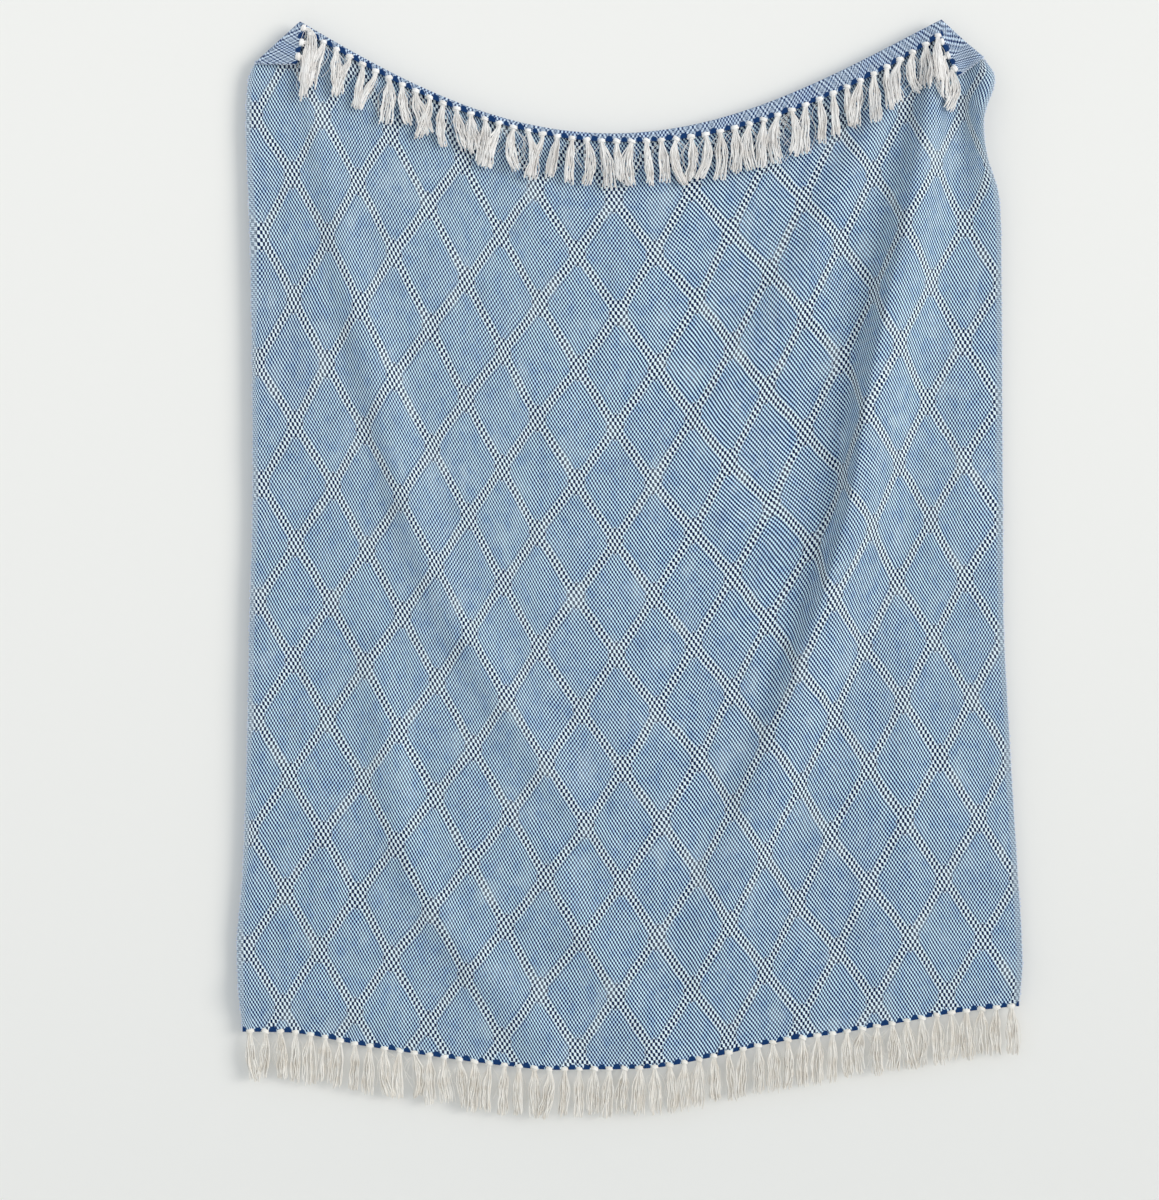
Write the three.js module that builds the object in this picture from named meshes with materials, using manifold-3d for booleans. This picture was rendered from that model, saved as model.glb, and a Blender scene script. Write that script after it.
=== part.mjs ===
// A woven throw blanket hung by two points near its upper corners.
// Units are millimetres. +Z is up, +X runs from the left hanging point to the right one, and the
// front of the cloth faces -Y. The origin is the left hanging point, at the top of the turned edge.

import * as THREE from "three";
import { mergeVertices } from "three/addons/utils/BufferGeometryUtils.js";
import Module from "manifold-3d";

// Driving sizes of the throw
const CLOTH_THICKNESS = 2;
const TASSELS_PER_END = 52;
const TASSEL_LENGTH = 76;
const TASSEL_LENGTH_SPREAD = 0.05;
const TASSEL_LEAN = 4;
const KNOT_THICKNESS = 7;
const KNOT_HALF_WIDTH = 5;
const LOCKS_PER_TASSEL = 3;
const LOCK_ROOT_RADIUS = 1.5;
const LOCK_TIP_RADIUS = 2.1;
const LOCK_ROOT_SPACING = 2.9;
const LOCK_TIP_SPACING = 5.4;
const LOCK_KICK = 5;
const LOCK_TURN_SHARE = 0.2;
const SIDE_LOCK_SHORTFALL = 0.03;
const STRIP_WIDTH = 8;
const LOCK_SEAT = 2.5;
const TASSEL_CLEARANCE = 5;
const CORNER_EASE = 12;
const EDGE_SAMPLES = 400;
const PIECE_GAP = 0.8;

// The hanging points and the sag of the upper edge between them
const HANG_SPAN = 1035;
const HANG_RISE = 3;
const SAG = 182;
const SAG_FLATTENING = 0.22;
const SAG_LEAN = 0.06;

// The turn of the upper edge towards the front
const TURN_RADIUS = 3.2;
const TURN_STEPS = 4;
const FLAP_ROWS = 3;
const FLAP_SPREAD = 7;
const FLAP_SPREAD_REACH = 60;

// Where the upper corners fold: the selvedge point of each fold line, and the loose corner of each flap
const LEFT_FOLD_END = { x: -70, z: -64 };
const LEFT_CORNER = { x: -14, z: -66 };
const RIGHT_FOLD_END = { x: 1101, z: -58 };
const RIGHT_CORNER = { x: 1069, z: -81 };

// The visible depth of the turned edge along the top
const RIM_COLUMNS = ["x", "depth"];
const RIM = [
  [0, 2.5],
  [60, 2],
  [290, 2],
  [420, 2.5],
  [516, 3.5],
  [645, 9],
  [807, 17],
  [936, 20],
  [1035, 15],
];

// How much of the upper strip's full width stands out along the top
const STRIP_COLUMNS = ["x", "share"];
const STRIP_SHARES = [
  [-70, 1],
  [-14, 1],
  [0, 0.5],
  [14, 0.7],
  [300, 0.7],
  [500, 0.8],
  [645, 1],
  [1021, 1],
  [1035, 0.45],
  [1049, 1],
  [1101, 1],
];

// The two selvedges and the hem as they hang
const SELVEDGE_COLUMNS = ["z", "left", "right"];
const SELVEDGES = [
  [-58, -69, 1101],
  [-92, -83, 1119],
  [-157, -87, 1101],
  [-215, -86, 1106],
  [-280, -83, 1126],
  [-400, -79, 1131],
  [-765, -76, 1134],
  [-965, -81, 1135],
  [-1175, -85, 1146],
  [-1370, -92, 1158],
  [-1500, -102, 1165],
  [-1625, -93, 1158],
];

const HEM_COLUMNS = ["x", "z"];
const HEM = [
  [-92, -1622],
  [0, -1625],
  [110, -1646],
  [350, -1679],
  [470, -1683],
  [575, -1679],
  [670, -1662],
  [765, -1640],
  [860, -1626],
  [965, -1608],
  [1055, -1592],
  [1158, -1581],
];

// The main folds. Each row is a station down the fold: its height in z, the crest's place in x, how
// far the crest stands proud, and the widths of its left and right flanks.
const FOLD_COLUMNS = ["z", "crest", "proud", "left", "right"];
const RIGHT_RIDGE = [
  [0, 1035, 0, 20, 22],
  [-60, 1023, 10, 22, 28],
  [-175, 1009, 26, 40, 52],
  [-335, 976, 38, 44, 82],
  [-450, 949, 44, 40, 96],
  [-610, 914, 46, 36, 106],
  [-745, 893, 44, 34, 106],
  [-870, 862, 40, 36, 106],
  [-1015, 817, 30, 46, 106],
  [-1145, 775, 20, 62, 106],
  [-1290, 726, 12, 76, 98],
  [-1415, 681, 7, 80, 82],
  [-1560, 640, 3, 70, 70],
  [-1700, 620, 0, 70, 70],
];
const RIGHT_SWAG = [
  [0, 1030, 0, 14, 12],
  [-110, 965, 7, 30, 24],
  [-225, 900, 13, 56, 40],
  [-335, 842, 13, 66, 56],
  [-435, 788, 10, 72, 70],
  [-530, 726, 5, 70, 80],
  [-640, 670, 0, 66, 66],
];
const LEFT_RIDGE = [
  [0, 0, 0, 14, 14],
  [-110, 13, 4, 24, 26],
  [-255, 45, 6, 36, 44],
  [-385, 74, 9, 46, 56],
  [-515, 107, 12, 50, 60],
  [-660, 142, 13, 50, 62],
  [-805, 186, 12, 52, 62],
  [-935, 239, 11, 56, 62],
  [-1060, 310, 11, 60, 64],
  [-1190, 392, 9, 62, 66],
  [-1305, 471, 5, 64, 66],
  [-1420, 541, 0, 64, 64],
];
const LEFT_SWAG = [
  [-930, 110, 0, 42, 42],
  [-1060, 129, 6, 50, 44],
  [-1190, 150, 9, 56, 46],
  [-1335, 178, 11, 58, 52],
  [-1465, 245, 11, 62, 58],
  [-1580, 336, 9, 64, 62],
  [-1700, 420, 6, 64, 64],
];
const LOW_SWAG = [
  [-1255, 387, 0, 58, 50],
  [-1350, 407, 4, 60, 50],
  [-1465, 460, 6, 62, 56],
  [-1580, 533, 6, 66, 66],
  [-1700, 590, 5, 70, 70],
];
const SELVEDGE_ROLL = [
  [-30, 1080, 0, 20, 24],
  [-92, 1108, 17, 38, 40],
  [-142, 1102, 22, 38, 40],
  [-207, 1104, 17, 42, 44],
  [-287, 1117, 9, 50, 46],
  [-415, 1130, 3, 50, 46],
  [-540, 1133, 0, 50, 46],
];
const FOLDS = [RIGHT_RIDGE, RIGHT_SWAG, LEFT_RIDGE, LEFT_SWAG, LOW_SWAG, SELVEDGE_ROLL];

// The cloth stands a little off the plane it hangs against, most in the middle
const BELLY_DEPTH = 14;
const BELLY_MIDDLE_X = 520;
const BELLY_HALF_WIDTH = 640;
const BELLY_TOP = 260;
const BELLY_FOOT_Z = -1660;
const BELLY_FOOT_RISE = 260;

// The grid of the sheet: columns between the lines that follow the main ridges, and rows
const COLUMNS = { leftSelvedge: 8, leftRidge: 7, middle: 6, steepFlank: 4, gentleFlank: 4, rightSelvedge: 6 };
const PANEL_ROWS = 29;
const ROW_CROWDING = 1.15;
const SETTLE_PASSES = 4;
const SLOPE_STEP = 4;

// Colours and finish
const WOVEN_BLUE = 0x8fa6bb;
const FRINGE_WHITE = 0xe6e2d8;

// Reads a table: a smooth curve through its rows, for every column, at the value of the first column
function readTable(table, columns, at) {
  const sorted = table[0][0] < table[table.length - 1][0] ? table : [...table].reverse();
  const last = sorted.length - 1;
  let i = 0;
  while (i < last - 1 && at > sorted[i + 1][0]) i += 1;
  const span = sorted[i + 1][0] - sorted[i][0];
  const t = THREE.MathUtils.clamp((at - sorted[i][0]) / span, 0, 1);
  const before = sorted[Math.max(i - 1, 0)];
  const after = sorted[Math.min(i + 2, last)];
  const row = {};
  columns.forEach((name, c) => {
    const p0 = sorted[i][c];
    const p1 = sorted[i + 1][c];
    const m0 = ((p1 - before[c]) / (sorted[i + 1][0] - before[0])) * span;
    const m1 = ((after[c] - p0) / (after[0] - sorted[i][0])) * span;
    const t2 = t * t;
    const t3 = t2 * t;
    row[name] = (2 * t3 - 3 * t2 + 1) * p0 + (t3 - 2 * t2 + t) * m0 + (3 * t2 - 2 * t3) * p1 + (t3 - t2) * m1;
  });
  return row;
}

const smooth = (t) => THREE.MathUtils.smoothstep(t, 0, 1);
const between = (a, b, t) => a + (b - a) * t;

// How far one fold stands proud at a place on the sheet
function foldHeight(fold, x, z) {
  const top = Math.max(fold[0][0], fold[fold.length - 1][0]);
  const foot = Math.min(fold[0][0], fold[fold.length - 1][0]);
  if (z > top || z < foot) return 0;
  const station = readTable(fold, FOLD_COLUMNS, z);
  const side = x - station.crest;
  const t = Math.abs(side) / (side < 0 ? station.left : station.right);
  return t < 1 ? (station.proud * (1 + Math.cos(Math.PI * t))) / 2 : 0;
}

// The depth of the sheet's middle surface at (x, z), as a value of y
function sheetY(x, z) {
  const across = (x - BELLY_MIDDLE_X) / BELLY_HALF_WIDTH;
  const downFromTop = (topEdgeZ(x) - z) / BELLY_TOP;
  const upFromFoot = (z - BELLY_FOOT_Z) / BELLY_FOOT_RISE;
  const belly = BELLY_DEPTH * Math.max(0, 1 - across * across) * smooth(downFromTop) * smooth(upFromFoot);
  let proud = belly;
  for (const fold of FOLDS) proud += foldHeight(fold, x, z);
  return TURN_RADIUS - proud;
}

// The line that the sheet turns over: the left corner's fold, the sagging edge, the right corner's fold
function topEdgeZ(x) {
  if (x <= 0) return between(LEFT_FOLD_END.z, 0, THREE.MathUtils.clamp(1 - x / LEFT_FOLD_END.x, 0, 1));
  if (x >= HANG_SPAN) {
    const t = (x - HANG_SPAN) / (RIGHT_FOLD_END.x - HANG_SPAN);
    return between(HANG_RISE, RIGHT_FOLD_END.z, THREE.MathUtils.clamp(t, 0, 1));
  }
  const t = (2 * x) / HANG_SPAN - 1;
  const drop = (1 - t * t) * (1 - SAG_FLATTENING * t * t - SAG_LEAN * t);
  return (HANG_RISE * x) / HANG_SPAN - SAG * drop;
}

// The way the sheet runs on past the turn at x, as a vector in the plane of the cloth
function overTurn(x) {
  const flap = (foldEnd, corner, t, rim) =>
    new THREE.Vector2((corner.x - foldEnd.x) * t, (corner.z - foldEnd.z) * t - rim * (1 - t));
  if (x < 0) return flap(LEFT_FOLD_END, LEFT_CORNER, x / LEFT_FOLD_END.x, RIM[0][1]);
  if (x > HANG_SPAN) {
    const t = (x - HANG_SPAN) / (RIGHT_FOLD_END.x - HANG_SPAN);
    return flap(RIGHT_FOLD_END, RIGHT_CORNER, t, RIM[RIM.length - 1][1]);
  }
  return new THREE.Vector2(0, -readTable(RIM, RIM_COLUMNS, x).depth);
}

// The outward direction of the turn's line at x
function turnOutward(x) {
  const rise = topEdgeZ(x + SLOPE_STEP) - topEdgeZ(x - SLOPE_STEP);
  return new THREE.Vector2(-rise, 2 * SLOPE_STEP).normalize();
}

// One row of the panel from selvedge to selvedge: the x of each column at the height share w
function rowOfX(w) {
  const hemZ = (x) => readTable(HEM, HEM_COLUMNS, x).z;
  const heightAt = (x) => between(hemZ(x), topEdgeZ(x), w);
  const settle = (start, follow) => {
    let x = start;
    for (let pass = 0; pass < SETTLE_PASSES; pass += 1) x = follow(heightAt(x));
    return x;
  };
  const left = settle(LEFT_FOLD_END.x, (z) => readTable(SELVEDGES, SELVEDGE_COLUMNS, z).left);
  const right = settle(RIGHT_FOLD_END.x, (z) => readTable(SELVEDGES, SELVEDGE_COLUMNS, z).right);
  const leftCrest = settle(0, (z) => readTable(LEFT_RIDGE, FOLD_COLUMNS, z).crest);
  const rightCrest = settle(HANG_SPAN, (z) => readTable(RIGHT_RIDGE, FOLD_COLUMNS, z).crest);
  const ridge = readTable(RIGHT_RIDGE, FOLD_COLUMNS, heightAt(rightCrest));
  const steepFoot = rightCrest - ridge.left;
  const gentleFoot = rightCrest + ridge.right;
  const stops = [left, leftCrest, (leftCrest + steepFoot) / 2, steepFoot, rightCrest, gentleFoot, right];
  const counts = Object.values(COLUMNS);
  const row = [left];
  counts.forEach((count, part) => {
    for (let i = 1; i <= count; i += 1) row.push(between(stops[part], stops[part + 1], i / count));
  });
  return row.map((x) => ({ x, z: heightAt(x) }));
}

// The sheet's middle surface as rows of points: the panel, the turn and the turned part in front of it
function sheetRows() {
  const rows = [];
  for (let j = 0; j < PANEL_ROWS; j += 1) {
    const w = 1 - Math.pow(1 - j / PANEL_ROWS, ROW_CROWDING);
    rows.push(rowOfX(w).map(({ x, z }) => new THREE.Vector3(x, sheetY(x, z), z)));
  }
  const edge = rowOfX(1);
  for (let k = 0; k <= TURN_STEPS; k += 1) {
    rows.push(edge.map(({ x }) => turnPoint(x, (k / TURN_STEPS) * Math.PI)));
  }
  for (let k = 1; k <= FLAP_ROWS; k += 1) {
    rows.push(edge.map(({ x }) => flapPoint(x, k / FLAP_ROWS)));
  }
  return rows;
}

// A point on the half round of the turn at x
function turnPoint(x, angle) {
  const out = turnOutward(x).multiplyScalar(TURN_RADIUS * (Math.sin(angle) - 1));
  const px = x + out.x;
  const pz = topEdgeZ(x) + out.y;
  return new THREE.Vector3(px, sheetY(px, pz) - TURN_RADIUS * (1 - Math.cos(angle)), pz);
}

// A point on the turned part at x, from the turn (0) to the fringed edge (1), and from there out along
// the strip by a distance
function flapPoint(x, share, out = 0) {
  const start = turnPoint(x, Math.PI);
  const over = overTurn(x);
  const strip = stripOutward(x).multiplyScalar(out);
  const px = start.x + over.x * share + strip.x;
  const pz = start.z + over.y * share + strip.y;
  const spread = FLAP_SPREAD * smooth((share * over.length()) / FLAP_SPREAD_REACH);
  return new THREE.Vector3(px, sheetY(px, pz) - 2 * TURN_RADIUS - spread, pz);
}

// The way out from the fringed edge at x: to the right off the left flap, down along the top, and
// down to the left off the right flap, turned gradually about each hanging point
function stripOutward(x) {
  const down = new THREE.Vector2(0, -1);
  const offLeftFlap = new THREE.Vector2(1, 0);
  const rightEdge = new THREE.Vector2(RIGHT_CORNER.x - HANG_SPAN, RIGHT_CORNER.z + RIM[RIM.length - 1][1]);
  const offRightFlap = new THREE.Vector2(rightEdge.y, -rightEdge.x).normalize();
  const turned = (from) => smooth((x - from + CORNER_EASE) / (2 * CORNER_EASE));
  if (x < HANG_SPAN / 2) return offLeftFlap.lerp(down, turned(0)).normalize();
  return down.lerp(offRightFlap, turned(HANG_SPAN)).normalize();
}

// The normals of a grid of points, by differences between neighbours
function gridNormals(rows) {
  const near = (list, i) => [list[Math.max(i - 1, 0)], list[Math.min(i + 1, list.length - 1)]];
  return rows.map((row, j) =>
    row.map((_, i) => {
      const [before, after] = near(row, i);
      const [below, above] = near(rows, j);
      const along = new THREE.Vector3().subVectors(after, before);
      const up = new THREE.Vector3().subVectors(above[i], below[i]);
      return along.cross(up).normalize();
    }),
  );
}

// A closed sheet about a grid of points, with its thickness at each row j and column i
function sheetGeometry(rows, thicknessAt) {
  const normals = gridNormals(rows);
  const width = rows[0].length;
  const height = rows.length;
  const points = [];
  for (const side of [1, -1]) {
    rows.forEach((row, j) =>
      row.forEach((p, i) => {
        const q = p.clone().addScaledVector(normals[j][i], (side * thicknessAt(j, i)) / 2);
        points.push(q.x, q.y, q.z);
      }),
    );
  }
  const front = (i, j) => j * width + i;
  const back = (i, j) => width * height + j * width + i;
  const faces = [];
  const quad = (a, b, c, d) => faces.push(a, b, c, a, c, d);
  for (let j = 0; j < height - 1; j += 1) {
    for (let i = 0; i < width - 1; i += 1) {
      quad(front(i, j), front(i + 1, j), front(i + 1, j + 1), front(i, j + 1));
      quad(back(i, j), back(i, j + 1), back(i + 1, j + 1), back(i + 1, j));
    }
  }
  for (let i = 0; i < width - 1; i += 1) {
    quad(front(i, 0), back(i, 0), back(i + 1, 0), front(i + 1, 0));
    quad(front(i, height - 1), front(i + 1, height - 1), back(i + 1, height - 1), back(i, height - 1));
  }
  for (let j = 0; j < height - 1; j += 1) {
    quad(front(0, j), front(0, j + 1), back(0, j + 1), back(0, j));
    quad(front(width - 1, j), back(width - 1, j), back(width - 1, j + 1), front(width - 1, j + 1));
  }
  const geometry = new THREE.BufferGeometry();
  geometry.setAttribute("position", new THREE.Float32BufferAttribute(points, 3));
  geometry.setIndex(faces);
  return geometry;
}

// A three-sided lock of yarn along a short path, a little wider at its cut end
function lockGeometry(path) {
  const sides = 3;
  const points = [];
  path.forEach((p, k) => {
    const r = between(LOCK_ROOT_RADIUS, LOCK_TIP_RADIUS, k / (path.length - 1));
    for (let s = 0; s < sides; s += 1) {
      const a = (2 * Math.PI * s) / sides + Math.PI / 2;
      points.push(p.x + r * Math.cos(a), p.y - r * Math.sin(a), p.z);
    }
  });
  const faces = [0, 2, 1];
  for (let k = 0; k < path.length - 1; k += 1) {
    for (let s = 0; s < sides; s += 1) {
      const a = k * sides + s;
      const b = k * sides + ((s + 1) % sides);
      faces.push(a, b, b + sides, a, b + sides, a + sides);
    }
  }
  const end = (path.length - 1) * sides;
  faces.push(end, end + 1, end + 2);
  const geometry = new THREE.BufferGeometry();
  geometry.setAttribute("position", new THREE.Float32BufferAttribute(points, 3));
  geometry.setIndex(faces);
  return geometry;
}

// The x of each station along a fringed edge, worked out by length: both ends, and for each tassel its
// knot's middle and the two sides of the knot
function fringeStations(edgeAt, left, right) {
  const xs = Array.from({ length: EDGE_SAMPLES + 1 }, (_, i) => between(left, right, i / EDGE_SAMPLES));
  const lengths = [0];
  for (let i = 1; i <= EDGE_SAMPLES; i += 1) {
    lengths.push(lengths[i - 1] + edgeAt(xs[i]).distanceTo(edgeAt(xs[i - 1])));
  }
  const total = lengths[EDGE_SAMPLES];
  const xAt = (length) => {
    let i = 0;
    while (i < EDGE_SAMPLES - 1 && lengths[i + 1] < length) i += 1;
    return between(xs[i], xs[i + 1], (length - lengths[i]) / (lengths[i + 1] - lengths[i]));
  };
  const stations = [{ x: left, knot: false }];
  for (let n = 0; n < TASSELS_PER_END; n += 1) {
    const middle = (total * (n + 0.5)) / TASSELS_PER_END;
    stations.push({ x: xAt(middle - KNOT_HALF_WIDTH), knot: false });
    stations.push({ x: xAt(middle), knot: true });
    stations.push({ x: xAt(middle + KNOT_HALF_WIDTH), knot: false });
  }
  stations.push({ x: right, knot: false });
  return stations;
}

// A repeatable spread of small differences, from -1 to 1
const uneven = (n, salt) => Math.sin(n * 12.9898 + salt * 78.233 + Math.sin(n * 4.1 + salt));

// The locks of one tassel. They leave the knot outwards, side by side along the strip, turn down and
// hang. The shares are the stations of a lock's path, and clear gives the y it hangs at.
function tasselLocks(seat, outward, along, n, shares, clear) {
  const length = TASSEL_LENGTH * (1 + TASSEL_LENGTH_SPREAD * uneven(n, 1));
  const lean = TASSEL_LEAN * uneven(n, 2);
  const locks = [];
  for (let k = 0; k < LOCKS_PER_TASSEL; k += 1) {
    const fan = k - (LOCKS_PER_TASSEL - 1) / 2;
    const path = shares.map((share) => {
      const hanging = Math.min(1, share / LOCK_TURN_SHARE);
      const spacing = fan * between(LOCK_ROOT_SPACING, LOCK_TIP_SPACING, share);
      const sideX = spacing * between(along.x, 1, hanging);
      const sideZ = spacing * between(along.z, 0, hanging);
      const x = seat.x + sideX + lean * share + outward.x * LOCK_KICK * hanging;
      const z = seat.z + sideZ - length * share * (1 - SIDE_LOCK_SHORTFALL * Math.abs(fan));
      return new THREE.Vector3(x, between(seat.y, clear(x, z, seat), smooth(2 * share)), z);
    });
    locks.push(lockGeometry(path));
  }
  return locks;
}

const wasm = await Module();
wasm.setup();

// A closed mesh as a solid that can be joined
function solidOf(geometry) {
  const bare = geometry.index ? geometry.toNonIndexed() : geometry.clone();
  bare.deleteAttribute("normal");
  bare.deleteAttribute("uv");
  const merged = mergeVertices(bare, 1e-4);
  return new wasm.Manifold(
    new wasm.Mesh({
      numProp: 3,
      vertProperties: new Float32Array(merged.attributes.position.array),
      triVerts: new Uint32Array(merged.index.array),
    }),
  );
}

// All the pieces of one fringe as a single body
function fuse(geometries) {
  const joined = wasm.Manifold.union(geometries.map(solidOf)).getMesh();
  const geometry = new THREE.BufferGeometry();
  geometry.setAttribute("position", new THREE.BufferAttribute(joined.vertProperties, 3));
  geometry.setIndex(new THREE.BufferAttribute(joined.triVerts, 1));
  return geometry;
}

// One fringe: a strip with a knot at every tassel, and the locks that hang from the knots. edgeAt
// gives the point of the strip at x and at a distance out from the cloth.
function fringe(edgeAt, left, right, shares, clear) {
  const stations = fringeStations((x) => edgeAt(x, STRIP_WIDTH), left, right);
  const rows = [PIECE_GAP, STRIP_WIDTH].map((out) => stations.map(({ x }) => edgeAt(x, out)));
  const fullWidth = STRIP_WIDTH - PIECE_GAP;
  const thicknessAt = (j, i) => {
    if (j === 0 || !stations[i].knot) return CLOTH_THICKNESS;
    return between(CLOTH_THICKNESS, KNOT_THICKNESS, rows[1][i].distanceTo(rows[0][i]) / fullWidth);
  };
  const pieces = [sheetGeometry(rows, thicknessAt)];
  stations
    .filter(({ knot }) => knot)
    .forEach(({ x }, n) => {
      const seat = edgeAt(x, STRIP_WIDTH - LOCK_SEAT);
      const outward = new THREE.Vector3().subVectors(edgeAt(x, STRIP_WIDTH), seat).normalize();
      const along = new THREE.Vector3().subVectors(edgeAt(x + 1, STRIP_WIDTH), edgeAt(x - 1, STRIP_WIDTH));
      pieces.push(...tasselLocks(seat, outward, along.normalize(), n, shares, clear));
    });
  return fuse(pieces);
}

// A fringed edge that runs straight from column to column, as the sheet's own edge does
function alongColumns(row, pointAt) {
  return (x, out) => {
    let i = 0;
    while (i < row.length - 2 && row[i + 1].x < x) i += 1;
    const t = (x - row[i].x) / (row[i + 1].x - row[i].x);
    return new THREE.Vector3().lerpVectors(pointAt(row[i], out), pointAt(row[i + 1], out), t);
  };
}

// The strip of the upper fringe runs on from the turned part, and its tassels hang in front of the cloth
function topFringe() {
  const share = (x) => readTable(STRIP_SHARES, STRIP_COLUMNS, x).share;
  const reach = (x, out) => PIECE_GAP + (out - PIECE_GAP) * share(x);
  const edgeAt = alongColumns(rowOfX(1), ({ x }, out) => flapPoint(x, 1, reach(x, out)));
  const clear = (x, z) => sheetY(x, z) - 2 * TURN_RADIUS - TASSEL_CLEARANCE;
  return fringe(edgeAt, LEFT_FOLD_END.x, RIGHT_FOLD_END.x, [0, LOCK_TURN_SHARE, 1], clear);
}

// The strip of the lower fringe runs on from the hem, and its tassels hang free
function bottomFringe() {
  const hem = rowOfX(0);
  const edgeAt = alongColumns(hem, ({ x, z }, out) => new THREE.Vector3(x, sheetY(x, z), z - out));
  return fringe(edgeAt, hem[0].x, hem[hem.length - 1].x, [0, 1], (x, z, seat) => seat.y);
}

function namedMesh(name, geometry, color, roughness) {
  const mesh = new THREE.Mesh(geometry, new THREE.MeshStandardMaterial({ color, roughness, metalness: 0 }));
  mesh.name = name;
  return mesh;
}

const throwBlanket = new THREE.Group();
throwBlanket.add(namedMesh("cloth", sheetGeometry(sheetRows(), () => CLOTH_THICKNESS), WOVEN_BLUE, 0.92));
throwBlanket.add(namedMesh("top_fringe", topFringe(), FRINGE_WHITE, 0.88));
throwBlanket.add(namedMesh("bottom_fringe", bottomFringe(), FRINGE_WHITE, 0.88));

export default throwBlanket;
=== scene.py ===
# A woven throw with a diamond lattice, hung by two points near its upper corners, with knotted
# fringe at both ends. Units are metres. +Z is up, +X runs from the left hanging point to the right
# one, and the front of the cloth faces -Y.

import math
import random

import bpy
import numpy as np
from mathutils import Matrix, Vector, noise


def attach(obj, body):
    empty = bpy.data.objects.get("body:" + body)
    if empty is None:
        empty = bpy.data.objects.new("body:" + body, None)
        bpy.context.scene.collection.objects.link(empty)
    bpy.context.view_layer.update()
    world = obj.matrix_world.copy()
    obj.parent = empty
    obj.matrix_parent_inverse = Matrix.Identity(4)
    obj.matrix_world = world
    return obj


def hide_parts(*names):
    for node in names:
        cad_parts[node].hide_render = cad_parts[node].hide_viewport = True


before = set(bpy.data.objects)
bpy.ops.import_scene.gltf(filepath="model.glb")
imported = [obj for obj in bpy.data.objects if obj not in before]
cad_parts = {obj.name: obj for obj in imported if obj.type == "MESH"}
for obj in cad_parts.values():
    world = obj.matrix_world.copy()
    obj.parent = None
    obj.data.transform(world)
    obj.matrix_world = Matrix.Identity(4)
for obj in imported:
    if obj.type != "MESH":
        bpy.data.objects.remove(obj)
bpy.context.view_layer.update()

# Driving sizes of the throw, as in the solids
FLAT_WIDTH = 1.27
CLOTH_THICKNESS = 0.002
TASSELS_PER_END = 52
TASSEL_LENGTH = 0.076
STRIP_WIDTH = 0.008
CORNER_EASE = 0.012
TASSEL_CLEARANCE = 0.005

# The hanging points and the sag of the upper edge between them
HANG_SPAN = 1.035
HANG_RISE = 0.003
SAG = 0.182
SAG_FLATTENING = 0.22
SAG_LEAN = 0.06

# The turn of the upper edge towards the front
TURN_RADIUS = 0.0032
FLAP_SPREAD = 0.007
FLAP_SPREAD_REACH = 0.06

# Where the upper corners fold, as (x, z)
LEFT_FOLD_END = (-0.070, -0.064)
LEFT_CORNER = (-0.014, -0.066)
RIGHT_FOLD_END = (1.101, -0.058)
RIGHT_CORNER = (1.069, -0.081)

# The visible depth of the turned edge: x, depth
RIM = [
    (0.000, 0.0025),
    (0.060, 0.0020),
    (0.290, 0.0020),
    (0.420, 0.0025),
    (0.516, 0.0035),
    (0.645, 0.009),
    (0.807, 0.017),
    (0.936, 0.020),
    (1.035, 0.015),
]

# How much of the strip's full width stands out along the top: x, share
STRIP_SHARES = [
    (-0.070, 1.00),
    (-0.014, 1.00),
    (0.000, 0.50),
    (0.014, 0.70),
    (0.300, 0.70),
    (0.500, 0.80),
    (0.645, 1.00),
    (1.021, 1.00),
    (1.035, 0.45),
    (1.049, 1.00),
    (1.101, 1.00),
]

# The selvedges as they hang: z, left x, right x
SELVEDGES = [
    (-0.058, -0.069, 1.101),
    (-0.092, -0.083, 1.119),
    (-0.157, -0.087, 1.101),
    (-0.215, -0.086, 1.106),
    (-0.280, -0.083, 1.126),
    (-0.400, -0.079, 1.131),
    (-0.765, -0.076, 1.134),
    (-0.965, -0.081, 1.135),
    (-1.175, -0.085, 1.146),
    (-1.370, -0.092, 1.158),
    (-1.500, -0.102, 1.165),
    (-1.625, -0.093, 1.158),
]

# The hem as it hangs: x, z
HEM = [
    (-0.092, -1.622),
    (0.000, -1.625),
    (0.110, -1.646),
    (0.350, -1.679),
    (0.470, -1.683),
    (0.575, -1.679),
    (0.670, -1.662),
    (0.765, -1.640),
    (0.860, -1.626),
    (0.965, -1.608),
    (1.055, -1.592),
    (1.158, -1.581),
]

# The main folds, as stations down each fold: z, crest x, how far it stands proud, the widths of its
# left and right flanks
RIGHT_RIDGE = [
    (0.000, 1.035, 0.000, 0.020, 0.022),
    (-0.060, 1.023, 0.010, 0.022, 0.028),
    (-0.175, 1.009, 0.026, 0.040, 0.052),
    (-0.335, 0.976, 0.038, 0.044, 0.082),
    (-0.450, 0.949, 0.044, 0.040, 0.096),
    (-0.610, 0.914, 0.046, 0.036, 0.106),
    (-0.745, 0.893, 0.044, 0.034, 0.106),
    (-0.870, 0.862, 0.040, 0.036, 0.106),
    (-1.015, 0.817, 0.030, 0.046, 0.106),
    (-1.145, 0.775, 0.020, 0.062, 0.106),
    (-1.290, 0.726, 0.012, 0.076, 0.098),
    (-1.415, 0.681, 0.007, 0.080, 0.082),
    (-1.560, 0.640, 0.003, 0.070, 0.070),
    (-1.700, 0.620, 0.000, 0.070, 0.070),
]
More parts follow.
